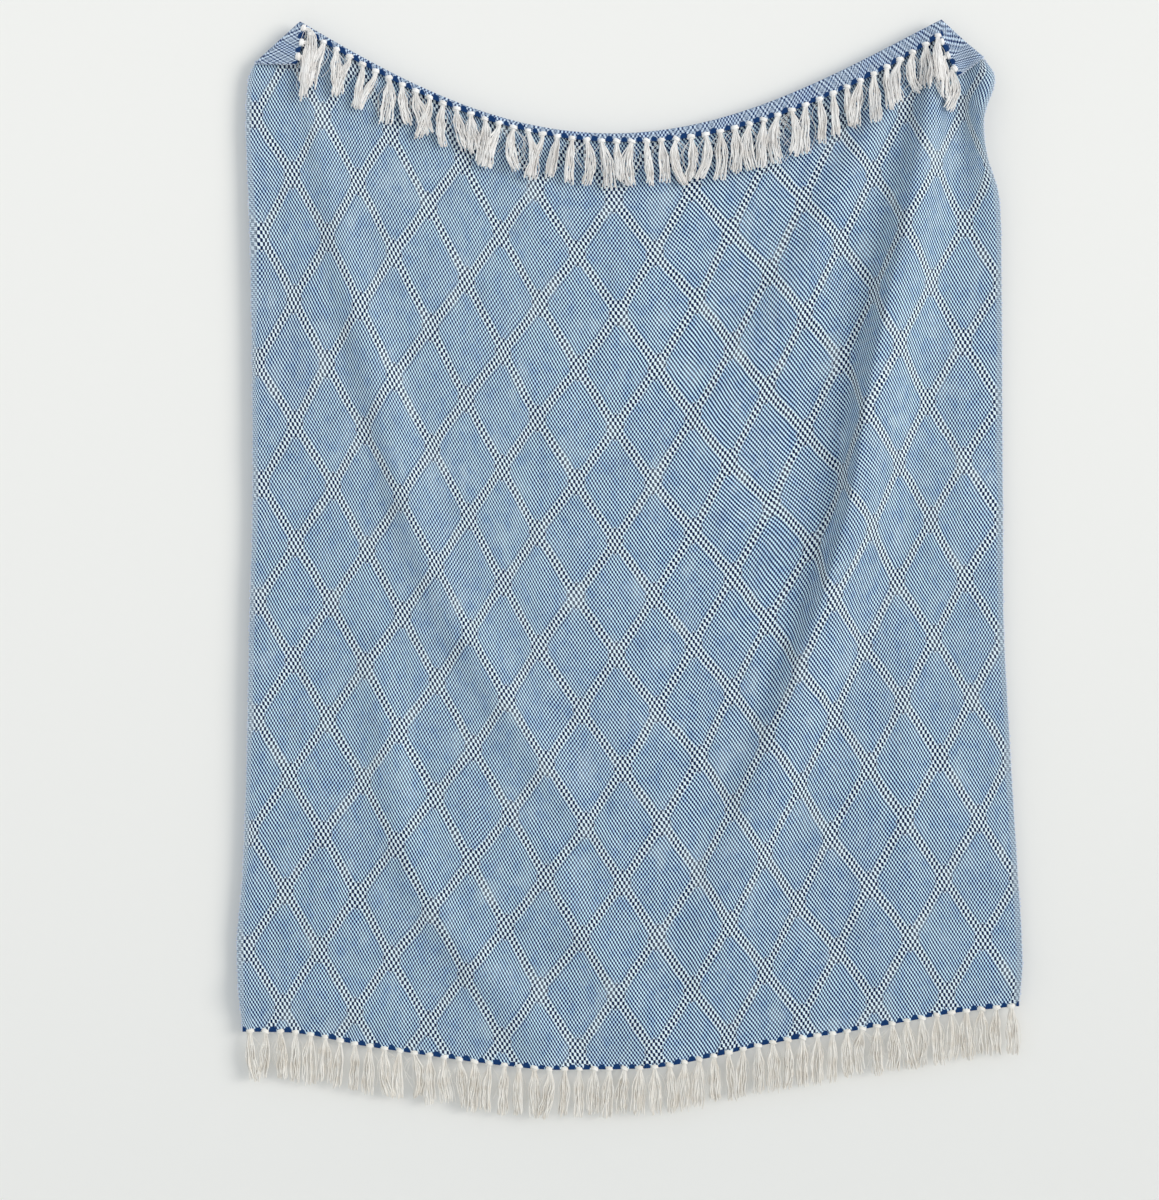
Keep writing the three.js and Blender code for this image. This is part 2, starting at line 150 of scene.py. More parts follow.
RIGHT_SWAG = [
    (0.000, 1.030, 0.000, 0.014, 0.012),
    (-0.110, 0.965, 0.007, 0.030, 0.024),
    (-0.225, 0.900, 0.013, 0.056, 0.040),
    (-0.335, 0.842, 0.013, 0.066, 0.056),
    (-0.435, 0.788, 0.010, 0.072, 0.070),
    (-0.530, 0.726, 0.005, 0.070, 0.080),
    (-0.640, 0.670, 0.000, 0.066, 0.066),
]
LEFT_RIDGE = [
    (0.000, 0.000, 0.000, 0.014, 0.014),
    (-0.110, 0.013, 0.004, 0.024, 0.026),
    (-0.255, 0.045, 0.006, 0.036, 0.044),
    (-0.385, 0.074, 0.009, 0.046, 0.056),
    (-0.515, 0.107, 0.012, 0.050, 0.060),
    (-0.660, 0.142, 0.013, 0.050, 0.062),
    (-0.805, 0.186, 0.012, 0.052, 0.062),
    (-0.935, 0.239, 0.011, 0.056, 0.062),
    (-1.060, 0.310, 0.011, 0.060, 0.064),
    (-1.190, 0.392, 0.009, 0.062, 0.066),
    (-1.305, 0.471, 0.005, 0.064, 0.066),
    (-1.420, 0.541, 0.000, 0.064, 0.064),
]
LEFT_SWAG = [
    (-0.930, 0.110, 0.000, 0.042, 0.042),
    (-1.060, 0.129, 0.006, 0.050, 0.044),
    (-1.190, 0.150, 0.009, 0.056, 0.046),
    (-1.335, 0.178, 0.011, 0.058, 0.052),
    (-1.465, 0.245, 0.011, 0.062, 0.058),
    (-1.580, 0.336, 0.009, 0.064, 0.062),
    (-1.700, 0.420, 0.006, 0.064, 0.064),
]
LOW_SWAG = [
    (-1.255, 0.387, 0.000, 0.058, 0.050),
    (-1.350, 0.407, 0.004, 0.060, 0.050),
    (-1.465, 0.460, 0.006, 0.062, 0.056),
    (-1.580, 0.533, 0.006, 0.066, 0.066),
    (-1.700, 0.590, 0.005, 0.070, 0.070),
]
SELVEDGE_ROLL = [
    (-0.030, 1.080, 0.000, 0.020, 0.024),
    (-0.092, 1.108, 0.017, 0.038, 0.040),
    (-0.142, 1.102, 0.022, 0.038, 0.040),
    (-0.207, 1.104, 0.017, 0.042, 0.044),
    (-0.287, 1.117, 0.009, 0.050, 0.046),
    (-0.415, 1.130, 0.003, 0.050, 0.046),
    (-0.540, 1.133, 0.000, 0.050, 0.046),
]
FOLDS = [RIGHT_RIDGE, RIGHT_SWAG, LEFT_RIDGE, LEFT_SWAG, LOW_SWAG, SELVEDGE_ROLL]

# The cloth stands a little off the plane it hangs against, most in the middle
BELLY_DEPTH = 0.014
BELLY_MIDDLE_X = 0.52
BELLY_HALF_WIDTH = 0.64
BELLY_TOP = 0.26
BELLY_FOOT_Z = -1.66
BELLY_FOOT_RISE = 0.26

# The small creases between the folds, from one end to the other: x, z, x, z, half width, height
CREASES = [
    (-0.005, -0.468, 0.095, -0.478, 0.010, 0.0035),
    (0.120, -0.985, 0.300, -0.998, 0.014, 0.0042),
    (0.280, -0.200, 0.405, -0.268, 0.014, 0.0045),
    (0.977, -0.990, 0.985, -1.520, 0.030, 0.0035),
    (0.525, -1.640, 0.655, -1.545, 0.026, 0.0055),
    (0.660, -0.300, 0.560, -0.420, 0.030, 0.0022),
    (0.330, -0.560, 0.470, -0.700, 0.034, 0.0022),
    (0.560, -1.020, 0.520, -1.260, 0.036, 0.0020),
    (-0.060, -1.150, 0.050, -1.330, 0.026, 0.0026),
    (1.060, -0.560, 1.075, -0.820, 0.024, 0.0022),
]
CREASE_FADE = 0.7

# The lower end curls forward above the hem towards the two selvedges: x, how far it stands proud
HEM_CURL = [
    (-0.100, 0.0085),
    (0.060, 0.0070),
    (0.260, 0.0030),
    (0.520, 0.0050),
    (0.700, 0.0030),
    (0.880, 0.0045),
    (1.170, 0.0085),
]
HEM_CURL_RISE = 0.052
HEM_SCALLOP = 0.0016
HEM_SCALLOP_RISE = 0.022

# Uneven ripples all over the cloth: length, height, seed
RIPPLES = [(0.15, 0.0026, 3.0), (0.065, 0.0011, 11.0)]
RIPPLE_STRETCH = 1.6
RIPPLE_TOP = 0.06

# The fine grid of the sheet, with the columns of each part from selvedge to selvedge
COLUMNS = (40, 35, 30, 20, 20, 30)
PANEL_ROWS = 200
ROW_CROWDING = 1.15
SETTLE_PASSES = 4
TURN_STEPS = 8
FLAP_ROWS = 10
STRIP_ROWS = 3
SLOPE_STEP = 0.004
SHARP_ANGLE = 50
EDGE_SAMPLES = 600

# The diamond lattice, counted in periods: K across the cloth and V along it
LATTICE_AT_SELVEDGES = (-0.12, 10.5)
# The K of six of its lines, and where they hang in the photo: z, then the x of each line
LATTICE_LINES = (0, 2, 4, 6, 8, 10)
LATTICE_HANG = [
    (-0.287, -0.073, 0.147, 0.381, 0.633, 0.870, 1.073),
    (-0.465, -0.061, 0.153, 0.387, 0.641, 0.873, 1.073),
    (-0.649, -0.068, 0.153, 0.384, 0.633, 0.872, 1.070),
    (-0.830, -0.061, 0.165, 0.383, 0.634, 0.875, 1.070),
    (-1.020, -0.068, 0.166, 0.386, 0.636, 0.859, 1.073),
    (-1.209, -0.071, 0.161, 0.399, 0.644, 0.862, 1.086),
    (-1.391, -0.081, 0.155, 0.397, 0.642, 0.855, 1.096),
    (-1.572, -0.086, 0.147, 0.386, 0.633, 0.868, 1.102),
]
LATTICE_PITCH_ALONG = 0.1835
LATTICE_MIDDLE_X = 0.5116
LATTICE_ANCHOR = (-1.572, 0.5)
BOW_REACH = 0.5165
# How far the rows of the lattice rise towards the left and the right selvedge: z, left, right
BOW = [
    (-1.700, 0.072, 0.092),
    (-1.390, 0.078, 0.098),
    (-1.020, 0.084, 0.118),
    (-0.650, 0.097, 0.132),
    (-0.287, 0.130, 0.146),
    (0.000, 0.145, 0.150),
]

# How each fringe's yarns lie
YARNS_PER_TASSEL = 17
YARN_RADIUS = 0.00105
FLYAWAY_RADIUS = 0.00036
YARN_STEPS = 11
YARN_SIDES = 5
# How much a fringe's tassels differ: the range of length, the range of spread, the scatter of the
# lean and of the sideways bend, and the stray fibres of each
TOP_TASSELS = {
    "length": (0.84, 1.04),
    "spread": (0.0030, 0.0076),
    "lean": 0.09,
    "bend": 0.0042,
    "strays": 3,
}
LOW_TASSELS = {
    "length": (0.92, 1.05),
    "spread": (0.0046, 0.0084),
    "lean": 0.06,
    "bend": 0.0022,
    "strays": 4,
}
# How much the yarns of one tassel differ, as ranges, and how soon each one spreads and sways
YARN_WAVES = (1.2, 2.6)
YARN_SWAY = (0.0005, 0.0017)
YARN_LAYER = (-0.0028, 0.0016)
YARN_TURN = (0.16, 0.3)
YARN_FAN = (-0.16, 0.16)
YARN_LENGTH = (0.87, 1.03)
YARN_THICKNESS = (0.8, 1.15)
YARN_SPREADING = 2.2
YARN_SPREAD_CURVE = 0.8
YARN_SWAYING = 2.5
YARN_TURN_LEAD = 0.05
ROOT_HALF_WIDTH = 0.0022
ROOT_DEPTH = (-0.0016, 0.0012)
STRAY_SPREAD = 2.2
STRAY_LENGTH = (0.55, 1.02)
STRAY_BEND = -2
# The knots: where one sits on the strip, how it is wound, and how much they differ
KNOT_INSET = 0.001
KNOT_AHEAD = 0.004
KNOT_TO_YARNS = 0.002
KNOT_RADIUS = 0.0041
KNOT_TURNS = 2.0
KNOT_COIL = (0.80, 0.92)
KNOT_COIL_HEIGHT = 1.1
KNOT_COIL_THICKNESS = 0.44
KNOT_TILT = (-0.3, 0.3)
KNOT_TWIST = (-0.4, 0.4)
KNOT_WIDTH = (1.1, 1.4)
KNOT_DEPTH = (0.85, 1.0)
KNOT_HEIGHT = (0.95, 1.2)
# The loops of weft along the selvedges, and how much they differ
LOOPS_PER_PERIOD = 32
LOOP_RADIUS = 0.0019
LOOP_YARN_RADIUS = 0.0006
LOOP_SWEEP = 220
LOOP_INSET = 0.0004
LOOP_TILT = (-0.25, 0.25)
LOOP_SIZE = (0.75, 1.2)
LOOP_WIDTH = (0.8, 1.25)
# How the tassels of the upper fringe lean, as the tip's shift for each unit of length: x, lean
TOP_LEAN = [
    (-0.090, 0.05),
    (0.000, 0.02),
    (0.022, -0.30),
    (0.066, -0.06),
    (0.096, -0.42),
    (0.142, -0.18),
    (0.184, 0.30),
    (0.215, -0.22),
    (0.250, 0.12),
    (0.300, -0.10),
    (0.328, -0.50),
    (0.350, 0.18),
    (0.402, -0.26),
    (0.440, -0.02),
    (1.000, 0.02),
    (1.035, 0.06),
    (1.101, -0.02),
]
# Near the left hanging point they hang in pairs: the first and the last of them, and the lean
# towards each other
PAIRED_TASSELS = (3, 12)
PAIR_LEAN = 0.16


def clamp(value, low=0.0, high=1.0):
    return min(max(value, low), high)


def smooth(t):
    t = clamp(t)
    return t * t * (3 - 2 * t)


def between(a, b, t):
    return a + (b - a) * t


def read_table(table, at):
    """A smooth curve through a table's rows, for every column, at a value of its first column."""
    rows = table if table[0][0] < table[-1][0] else table[::-1]
    last = len(rows) - 1
    i = 0
    while i < last - 1 and at > rows[i + 1][0]:
        i += 1
    before, low, high, after = rows[max(i - 1, 0)], rows[i], rows[i + 1], rows[min(i + 2, last)]
    span = high[0] - low[0]
    t = clamp((at - low[0]) / span)
    t2, t3 = t * t, t * t * t
    found = []
    for c in range(len(low)):
        m0 = (high[c] - before[c]) / (high[0] - before[0]) * span
        m1 = (after[c] - low[c]) / (after[0] - low[0]) * span
        value = (2 * t3 - 3 * t2 + 1) * low[c] + (t3 - 2 * t2 + t) * m0
        found.append(value + (3 * t2 - 2 * t3) * high[c] + (t3 - t2) * m1)
    return found


def fold_height(fold, x, z):
    """How far one fold stands proud at a place on the sheet."""
    if not min(fold[0][0], fold[-1][0]) <= z <= max(fold[0][0], fold[-1][0]):
        return 0.0
    _, crest, proud, left, right = read_table(fold, z)
    t = abs(x - crest) / (left if x < crest else right)
    return proud * (1 + math.cos(math.pi * t)) / 2 if t < 1 else 0.0


def crease_height(crease, x, z):
    """How far one small crease stands proud: round across, and fading towards both ends."""
    x0, z0, x1, z1, half_width, height = crease
    run_x, run_z = x1 - x0, z1 - z0
    length = math.hypot(run_x, run_z)
    along = ((x - x0) * run_x + (z - z0) * run_z) / (length * length)
    if not 0 < along < 1:
        return 0.0
    across = abs((x - x0) * run_z - (z - z0) * run_x) / (length * half_width)
    if across >= 1:
        return 0.0
    return height * math.sin(math.pi * along) ** CREASE_FADE * (1 + math.cos(math.pi * across)) / 2


def hem_z(x):
    return read_table(HEM, x)[1]


def hem_height(x, z):
    """The forward curl of the lower end."""
    rise = (z - hem_z(x)) / HEM_CURL_RISE
    if not 0 < rise < 2:
        return 0.0
    return read_table(HEM_CURL, x)[1] * math.sin(math.pi * rise / 2) ** 2


def ripple(x, z):
    return sum(
        height * noise.noise(Vector((x / length, z / (RIPPLE_STRETCH * length), seed)))
        for length, height, seed in RIPPLES
    )


def sheet_y(x, z):
    """The depth of the sheet's middle surface."""
    across = (x - BELLY_MIDDLE_X) / BELLY_HALF_WIDTH
    below_top = top_edge_z(x) - z
    above_foot = (z - BELLY_FOOT_Z) / BELLY_FOOT_RISE
    proud = BELLY_DEPTH * max(0.0, 1 - across * across)
    proud *= smooth(below_top / BELLY_TOP)
    proud *= smooth(above_foot)
    proud += sum(fold_height(fold, x, z) for fold in FOLDS)
    proud += sum(crease_height(crease, x, z) for crease in CREASES)
    proud += hem_height(x, z)
    proud += ripple(x, z) * smooth(below_top / RIPPLE_TOP)
    return TURN_RADIUS - proud


def top_edge_z(x):
    """The line that the sheet turns over: a corner's fold at each end and the sag between them."""
    if x <= 0:
        return LEFT_FOLD_END[1] * clamp(x / LEFT_FOLD_END[0])
    if x >= HANG_SPAN:
        share = clamp((x - HANG_SPAN) / (RIGHT_FOLD_END[0] - HANG_SPAN))
        return between(HANG_RISE, RIGHT_FOLD_END[1], share)
    t = 2 * x / HANG_SPAN - 1
    drop = (1 - t * t) * (1 - SAG_FLATTENING * t * t - SAG_LEAN * t)
    return HANG_RISE * x / HANG_SPAN - SAG * drop


def over_turn(x):
    """The way the sheet runs on past the turn, as (x, z)."""

    def flap(fold_end, corner, t, rim):
        return Vector(((corner[0] - fold_end[0]) * t, (corner[1] - fold_end[1]) * t - rim * (1 - t)))

    if x < 0:
        return flap(LEFT_FOLD_END, LEFT_CORNER, x / LEFT_FOLD_END[0], RIM[0][1])
    if x > HANG_SPAN:
        share = (x - HANG_SPAN) / (RIGHT_FOLD_END[0] - HANG_SPAN)
        return flap(RIGHT_FOLD_END, RIGHT_CORNER, share, RIM[-1][1])
    return Vector((0, -read_table(RIM, x)[1]))


def turn_point(x, angle):
    """A point on the half round of the turn."""
    rise = top_edge_z(x + SLOPE_STEP) - top_edge_z(x - SLOPE_STEP)
    out = Vector((-rise, 2 * SLOPE_STEP)).normalized() * TURN_RADIUS * (math.sin(angle) - 1)
    px, pz = x + out.x, top_edge_z(x) + out.y
    return Vector((px, sheet_y(px, pz) - TURN_RADIUS * (1 - math.cos(angle)), pz))


def strip_outward(x):
    """The way out from the fringed edge: right off the left flap, down, and down left off the right."""
    down = Vector((0, -1))
    off_left = Vector((1, 0))
    edge = Vector((RIGHT_CORNER[0] - HANG_SPAN, RIGHT_CORNER[1] + RIM[-1][1]))
    off_right = Vector((edge.y, -edge.x)).normalized()
    if x < HANG_SPAN / 2:
        return off_left.lerp(down, smooth((x + CORNER_EASE) / (2 * CORNER_EASE))).normalized()
    return down.lerp(off_right, smooth((x - HANG_SPAN + CORNER_EASE) / (2 * CORNER_EASE))).normalized()


def flap_point(x, share, out=0.0):
    """A point on the turned part, from the turn (0) to the fringed edge (1), and out along the strip."""
    start = turn_point(x, math.pi)
    over = over_turn(x)
    strip = strip_outward(x) * out
    px = start.x + over.x * share + strip.x
    pz = start.z + over.y * share + strip.y
    spread = FLAP_SPREAD * smooth(share * over.length / FLAP_SPREAD_REACH)
    return Vector((px, sheet_y(px, pz) - 2 * TURN_RADIUS - spread, pz))


def upper_edge(x, out):
    return flap_point(x, 1, out * read_table(STRIP_SHARES, x)[1])


def lower_edge(x, out):
    z = hem_z(x)
    return Vector((x, sheet_y(x, z), z - out))


def row_of_x(w):
    """One row of the panel from selvedge to selvedge, as (x, z), at the height share w."""

    def height_at(x):
        return between(hem_z(x), top_edge_z(x), w)

    def settle(start, table, column):
        x = start
        for _ in range(SETTLE_PASSES):
            x = read_table(table, height_at(x))[column]
        return x

    left = settle(LEFT_FOLD_END[0], SELVEDGES, 1)
    right = settle(RIGHT_FOLD_END[0], SELVEDGES, 2)
    left_crest = settle(0.0, LEFT_RIDGE, 1)
    right_crest = settle(HANG_SPAN, RIGHT_RIDGE, 1)
    _, _, _, steep, gentle = read_table(RIGHT_RIDGE, height_at(right_crest))
    foot = right_crest - steep
    middle = (left_crest + foot) / 2
    stops = [left, left_crest, middle, foot, right_crest, right_crest + gentle, right]
    row = [left]
    for part, count in enumerate(COLUMNS):
        row += [between(stops[part], stops[part + 1], i / count) for i in range(1, count + 1)]
    return [(x, height_at(x)) for x in row]


def lattice_v(x, z):
    """How many lattice periods up the cloth a place in front of the turn is."""
    _, left, right = read_table(BOW, z)
    side = x - LATTICE_MIDDLE_X
    reached = min(abs(side) / BOW_REACH, 1)
    rise = (left if side < 0 else right) * (1 - math.cos(math.pi * reached)) / 2
    return LATTICE_ANCHOR[1] + (z - rise - LATTICE_ANCHOR[0]) / LATTICE_PITCH_ALONG


def running_lengths(points):
    """The length along a run of points up to each of them."""
    total, lengths = 0.0, [0.0]
    for a, b in zip(points, points[1:]):
        total += math.dist(a, b)
        lengths.append(total)
    return lengths


def sheet_rows():
    """The sheet's middle surface from the lower fringed edge to the upper one, as a grid of points."""
    hem = row_of_x(0)
    rows = [
        [lower_edge(x, STRIP_WIDTH * k / STRIP_ROWS) for x, _ in hem]
        for k in range(STRIP_ROWS, 0, -1)
    ]
    for j in range(PANEL_ROWS):
        w = 1 - (1 - j / PANEL_ROWS) ** ROW_CROWDING
        rows.append([Vector((x, sheet_y(x, z), z)) for x, z in row_of_x(w)])
    edge = row_of_x(1)
    first_turned = len(rows)
    for k in range(TURN_STEPS + 1):
        rows.append([turn_point(x, math.pi * k / TURN_STEPS) for x, _ in edge])
    for k in range(1, FLAP_ROWS + 1):
        rows.append([flap_point(x, k / FLAP_ROWS) for x, _ in edge])
    for k in range(1, STRIP_ROWS + 1):
        rows.append([upper_edge(x, STRIP_WIDTH * k / STRIP_ROWS) for x, _ in edge])
    return rows, first_turned


def lattice_map(rows, first_turned):
    """The lattice coordinates (K, V) of every point of the sheet."""
    left, right = LATTICE_AT_SELVEDGES
    mapped = []
    for j, row in enumerate(rows):
        if j <= first_turned:
            lengths = running_lengths([(p.x, p.y) for p in row])
            hang = read_table(LATTICE_HANG, row[len(row) // 2].z)[1:]
            known = np.interp(hang, [p.x for p in row], lengths)
            across = np.interp(lengths, [0.0, *known, lengths[-1]], [left, *LATTICE_LINES, right])
            along = [lattice_v(p.x, p.z) for p in row]
        else:
            along = [
                v + (p - q).length / LATTICE_PITCH_ALONG
                for v, p, q in zip(along, row, rows[j - 1])
            ]
        mapped.append(list(zip(across, along)))
    return mapped


def fringe_map(rows):
    """For every point of the sheet: its place along the nearer fringed edge, in tassels, and its
    distance from it."""
    half = len(rows) // 2
    mapped = [None] * len(rows)
    for order in (range(half), range(len(rows) - 1, half - 1, -1)):
        edge = rows[order[0]]
        lengths = running_lengths(edge)
        place = [TASSELS_PER_END * length / lengths[-1] for length in lengths]
        depth = [0.0] * len(edge)
        before = edge
        for j in order:
            depth = [d + (p - q).length for d, p, q in zip(depth, rows[j], before)]
            mapped[j] = list(zip(place, depth))
            before = rows[j]
    return mapped


def scallop(rows, mapped):
    """Between two knots the lower hem stands a little forward of the knots."""
    for row, places in zip(rows, mapped):
        for p, (place, depth) in zip(row, places):
            if depth < HEM_SCALLOP_RISE and p.z < BELLY_FOOT_Z / 2:
                p.y -= HEM_SCALLOP * math.cos(2 * math.pi * place) * (1 - depth / HEM_SCALLOP_RISE)


def grid_normals(points):
    """The normals of a grid of points, by differences between neighbours."""
    along = np.gradient(points, axis=1)
    up = np.gradient(points, axis=0)
    normals = np.cross(along, up)
    return normals / np.linalg.norm(normals, axis=2, keepdims=True)


def new_object(name, data):
    """An object that is linked to the scene."""
    made = bpy.data.objects.new(name, data)
    bpy.context.scene.collection.objects.link(made)
    return made


def closed_sheet(name, rows, maps, materials):
    """A closed mesh about a grid of points. The first material is the front's and the second the back's."""
    points = np.array([[tuple(p) for p in row] for row in rows])
    height, width = points.shape[:2]
    offset = grid_normals(points) * CLOTH_THICKNESS / 2
    vertices = np.concatenate([(points + offset).reshape(-1, 3), (points - offset).reshape(-1, 3)])
    index = np.arange(height * width).reshape(height, width)
    a, b, c, d = index[:-1, :-1], index[:-1, 1:], index[1:, 1:], index[1:, :-1]
    front = np.stack([a, b, c, d], axis=-1).reshape(-1, 4)
    back = np.stack([a, d, c, b], axis=-1).reshape(-1, 4) + height * width
    rim = np.concatenate([index[0, :], index[1:, -1], index[-1, -2::-1], index[-2:0:-1, 0]])
    ahead = np.roll(rim, -1)
    edges = np.stack([rim, rim + height * width, ahead + height * width, ahead], axis=-1)
    faces = np.concatenate([front, back, edges])
    mesh = bpy.data.meshes.new(name)
    mesh.from_pydata(vertices.tolist(), [], faces.tolist())
    for material in materials:
        mesh.materials.append(material)
    kinds = np.concatenate([np.zeros(len(front), int), np.ones(len(back) + len(edges), int)])
    mesh.polygons.foreach_set("material_index", kinds)
    mesh.polygons.foreach_set("use_smooth", np.ones(len(faces), bool))
    corners = faces.reshape(-1) % (height * width)
    for map_name, grid in maps.items():
        layer = mesh.uv_layers.new(name=map_name)
        values = np.array(grid, float).reshape(-1, 2)[corners]
        layer.data.foreach_set("uv", values.reshape(-1))
    mesh.set_sharp_from_angle(angle=math.radians(SHARP_ANGLE))
    mesh.update()
    return new_object(name, mesh)


class Nodes:
    """Adds nodes to one tree. A plain value may stand wherever a socket may."""

    def __init__(self, tree):
        self.tree = tree

    def add(self, kind, inputs=(), **settings):
        node = self.tree.nodes.new(kind)
        for name, value in settings.items():
            setattr(node, name, value)
        for key, value in dict(inputs).items():
            self.feed(value, node.inputs[key])
        return node

    def feed(self, value, socket):
        if isinstance(value, bpy.types.NodeSocket):
            self.tree.links.new(value, socket)
        else:
            socket.default_value = value

    def math(self, operation, *values):
        node = self.add("ShaderNodeMath", enumerate(values), operation=operation)
        return node.outputs[0]

    def plus(self, a, b):
        return self.math("ADD", a, b)

    def minus(self, a, b):
        return self.math("SUBTRACT", a, b)

    def times(self, a, b):
        return self.math("MULTIPLY", a, b)

    def step(self, value, low, high, to_low=0.0, to_high=1.0):
        """A smooth step from to_low to to_high as value goes from low to high."""
        node = self.add(
            "ShaderNodeMapRange",
            {"Value": value, "From Min": low, "From Max": high, "To Min": to_low, "To Max": to_high},
            interpolation_type="SMOOTHSTEP",
        )
        return node.outputs["Result"]

    def mix(self, share, a, b):
        node = self.add("ShaderNodeMix", data_type="RGBA")
        self.feed(share, node.inputs["Factor"])
        self.feed(a, node.inputs[6])
        self.feed(b, node.inputs[7])
        return node.outputs[2]

    def noise(self, vector, scale, detail, roughness=0.5):
        node = self.add(
            "ShaderNodeTexNoise",
            {"Vector": vector, "Scale": scale, "Detail": detail, "Roughness": roughness},
        )
        return node.outputs["Fac"]


def colour(red, green, blue):
    """A colour given as it looks, from 0 to 255, as the linear one that a shader takes."""

    def linear(c):
        c /= 255
        return c / 12.92 if c <= 0.04045 else ((c + 0.055) / 1.055) ** 2.4

    return (linear(red), linear(green), linear(blue), 1.0)


def new_group(name, inputs, outputs):
    """A shader node group with named sockets, as (group, nodes, input node, output node)."""
    group = bpy.data.node_groups.new(name, "ShaderNodeTree")
    for socket_name, kind in inputs:
        group.interface.new_socket(name=socket_name, in_out="INPUT", socket_type=kind)
    for socket_name, kind in outputs:
        group.interface.new_socket(name=socket_name, in_out="OUTPUT", socket_type=kind)
    nodes = Nodes(group)
    return group, nodes, nodes.add("NodeGroupInput"), nodes.add("NodeGroupOutput")


FLOAT, VECTOR, COLOUR = "NodeSocketFloat", "NodeSocketVector", "NodeSocketColor"

# The weave's colours as they look: what they colour, the front's, the back's
WEAVE_COLOURS = [
    ("Light", (236, 250, 255), (226, 240, 250)),
    ("Dark", (0, 26, 70), (12, 40, 84)),
    ("Ground light", (219, 244, 255), (212, 232, 250)),
    ("Ground dark", (0, 34, 92), (4, 34, 96)),
    ("Hem dark", (20, 56, 104), (20, 56, 104)),
    ("Tint", (150, 190, 232), (150, 184, 224)),
]
# The weave's dots, counted across one lattice period, and how sharply they end
BAND_DOTS = 16
GROUND_DOTS = 22
BAND_DOT_EDGE = (-0.12, 0.08)
GROUND_DOT_EDGE = (-0.2, 0.1)
RISING_PARTING = 0.05
# Where the bands and their crossings end, in dots from a band's middle
FALLING_BAND_EDGE = (1.2, 1.0)
RISING_BAND_EDGE = (1.12, 0.92)
CROSSING_EDGE = (2.15, 1.9)
# The dark lines beside the bands: a line's middle in dots from the band's, its edge, its strength
RISING_LINE = (1.3, (0.28, 0.08), 0.4)
FALLING_LINE = (1.38, (0.34, 0.08), 0.32)
# The weave's unevenness: the scale of each noise in lattice periods, and how much it changes
WOBBLE_SCALE = 1.7
WOBBLE = 0.07
DRIFT_SCALE = 0.9
DRIFT = 4.0
TINT_SCALE = 6.5
TINT_STEP = (0.42, 0.7, 0.0, 0.5)
WEAR_SCALE = 1.3
WEAR_STEP = (0.4, 0.58, 0.35, 1.0)
PATCH_SCALE = 2.6
LIGHT_PATCH_STEP = (0.52, 0.72, 0.0, 0.12)
DARK_PATCH_STEP = (0.46, 0.28, 0.0, 0.10)
# The selvedges' ribs, counted along one lattice period, and how far in they reach
SELVEDGE_RIBS = 64
SELVEDGE_RIB_STEP = (-0.5, 0.5, 0.3, 0.75)
SELVEDGE_EDGE = (0.085, 0.045)
SELVEDGE_SHARE = 0.6
# The hem's dark spots between the knots
TASSEL_PITCH = FLAT_WIDTH / TASSELS_PER_END
SPOT_HALF_WIDTH = 0.0062
SPOT_HALF_HEIGHT = 0.0068
SPOT_INSET = 0.0025
SPOT_EDGE = (1.1, 0.8)
SPOT_LEAST = 0.3
SPOT_UNEVENNESS = 0.6
SPOT_FRAYING = 0.5
SPOT_FRAY_SCALE = 26.0
# The relief: how deep the dots lie, and the fine yarns, counted across and along one lattice period
DOT_RELIEF = -0.6
FINE_YARNS_ACROSS = 96
FINE_YARNS_ALONG = 144
FINE_RELIEF = 0.2
WEAVE_DEPTH = 0.0006
BUMP_STRENGTH = 0.5
# Cotton yarn: its plies, their turns along a yarn, the shade painted into the grooves between the plies,
# and the scales of its fibres and of its random changes of tone
PLIES = 2
PLY_TURNS = 26.0
PLY_STEP = (0.2, -0.9)
PLY_GROOVE_PAINTED_SHADE = 0.45
PLY_RELIEF = 0.5
FIBRE_SCALE = 900.0
FIBRE_SHADE = 0.5
SHADE_SCALE = 55.0
SHADE_STEP = (0.62, 0.3, 0.0, 0.55)
YARN_DEPTH = 0.0004


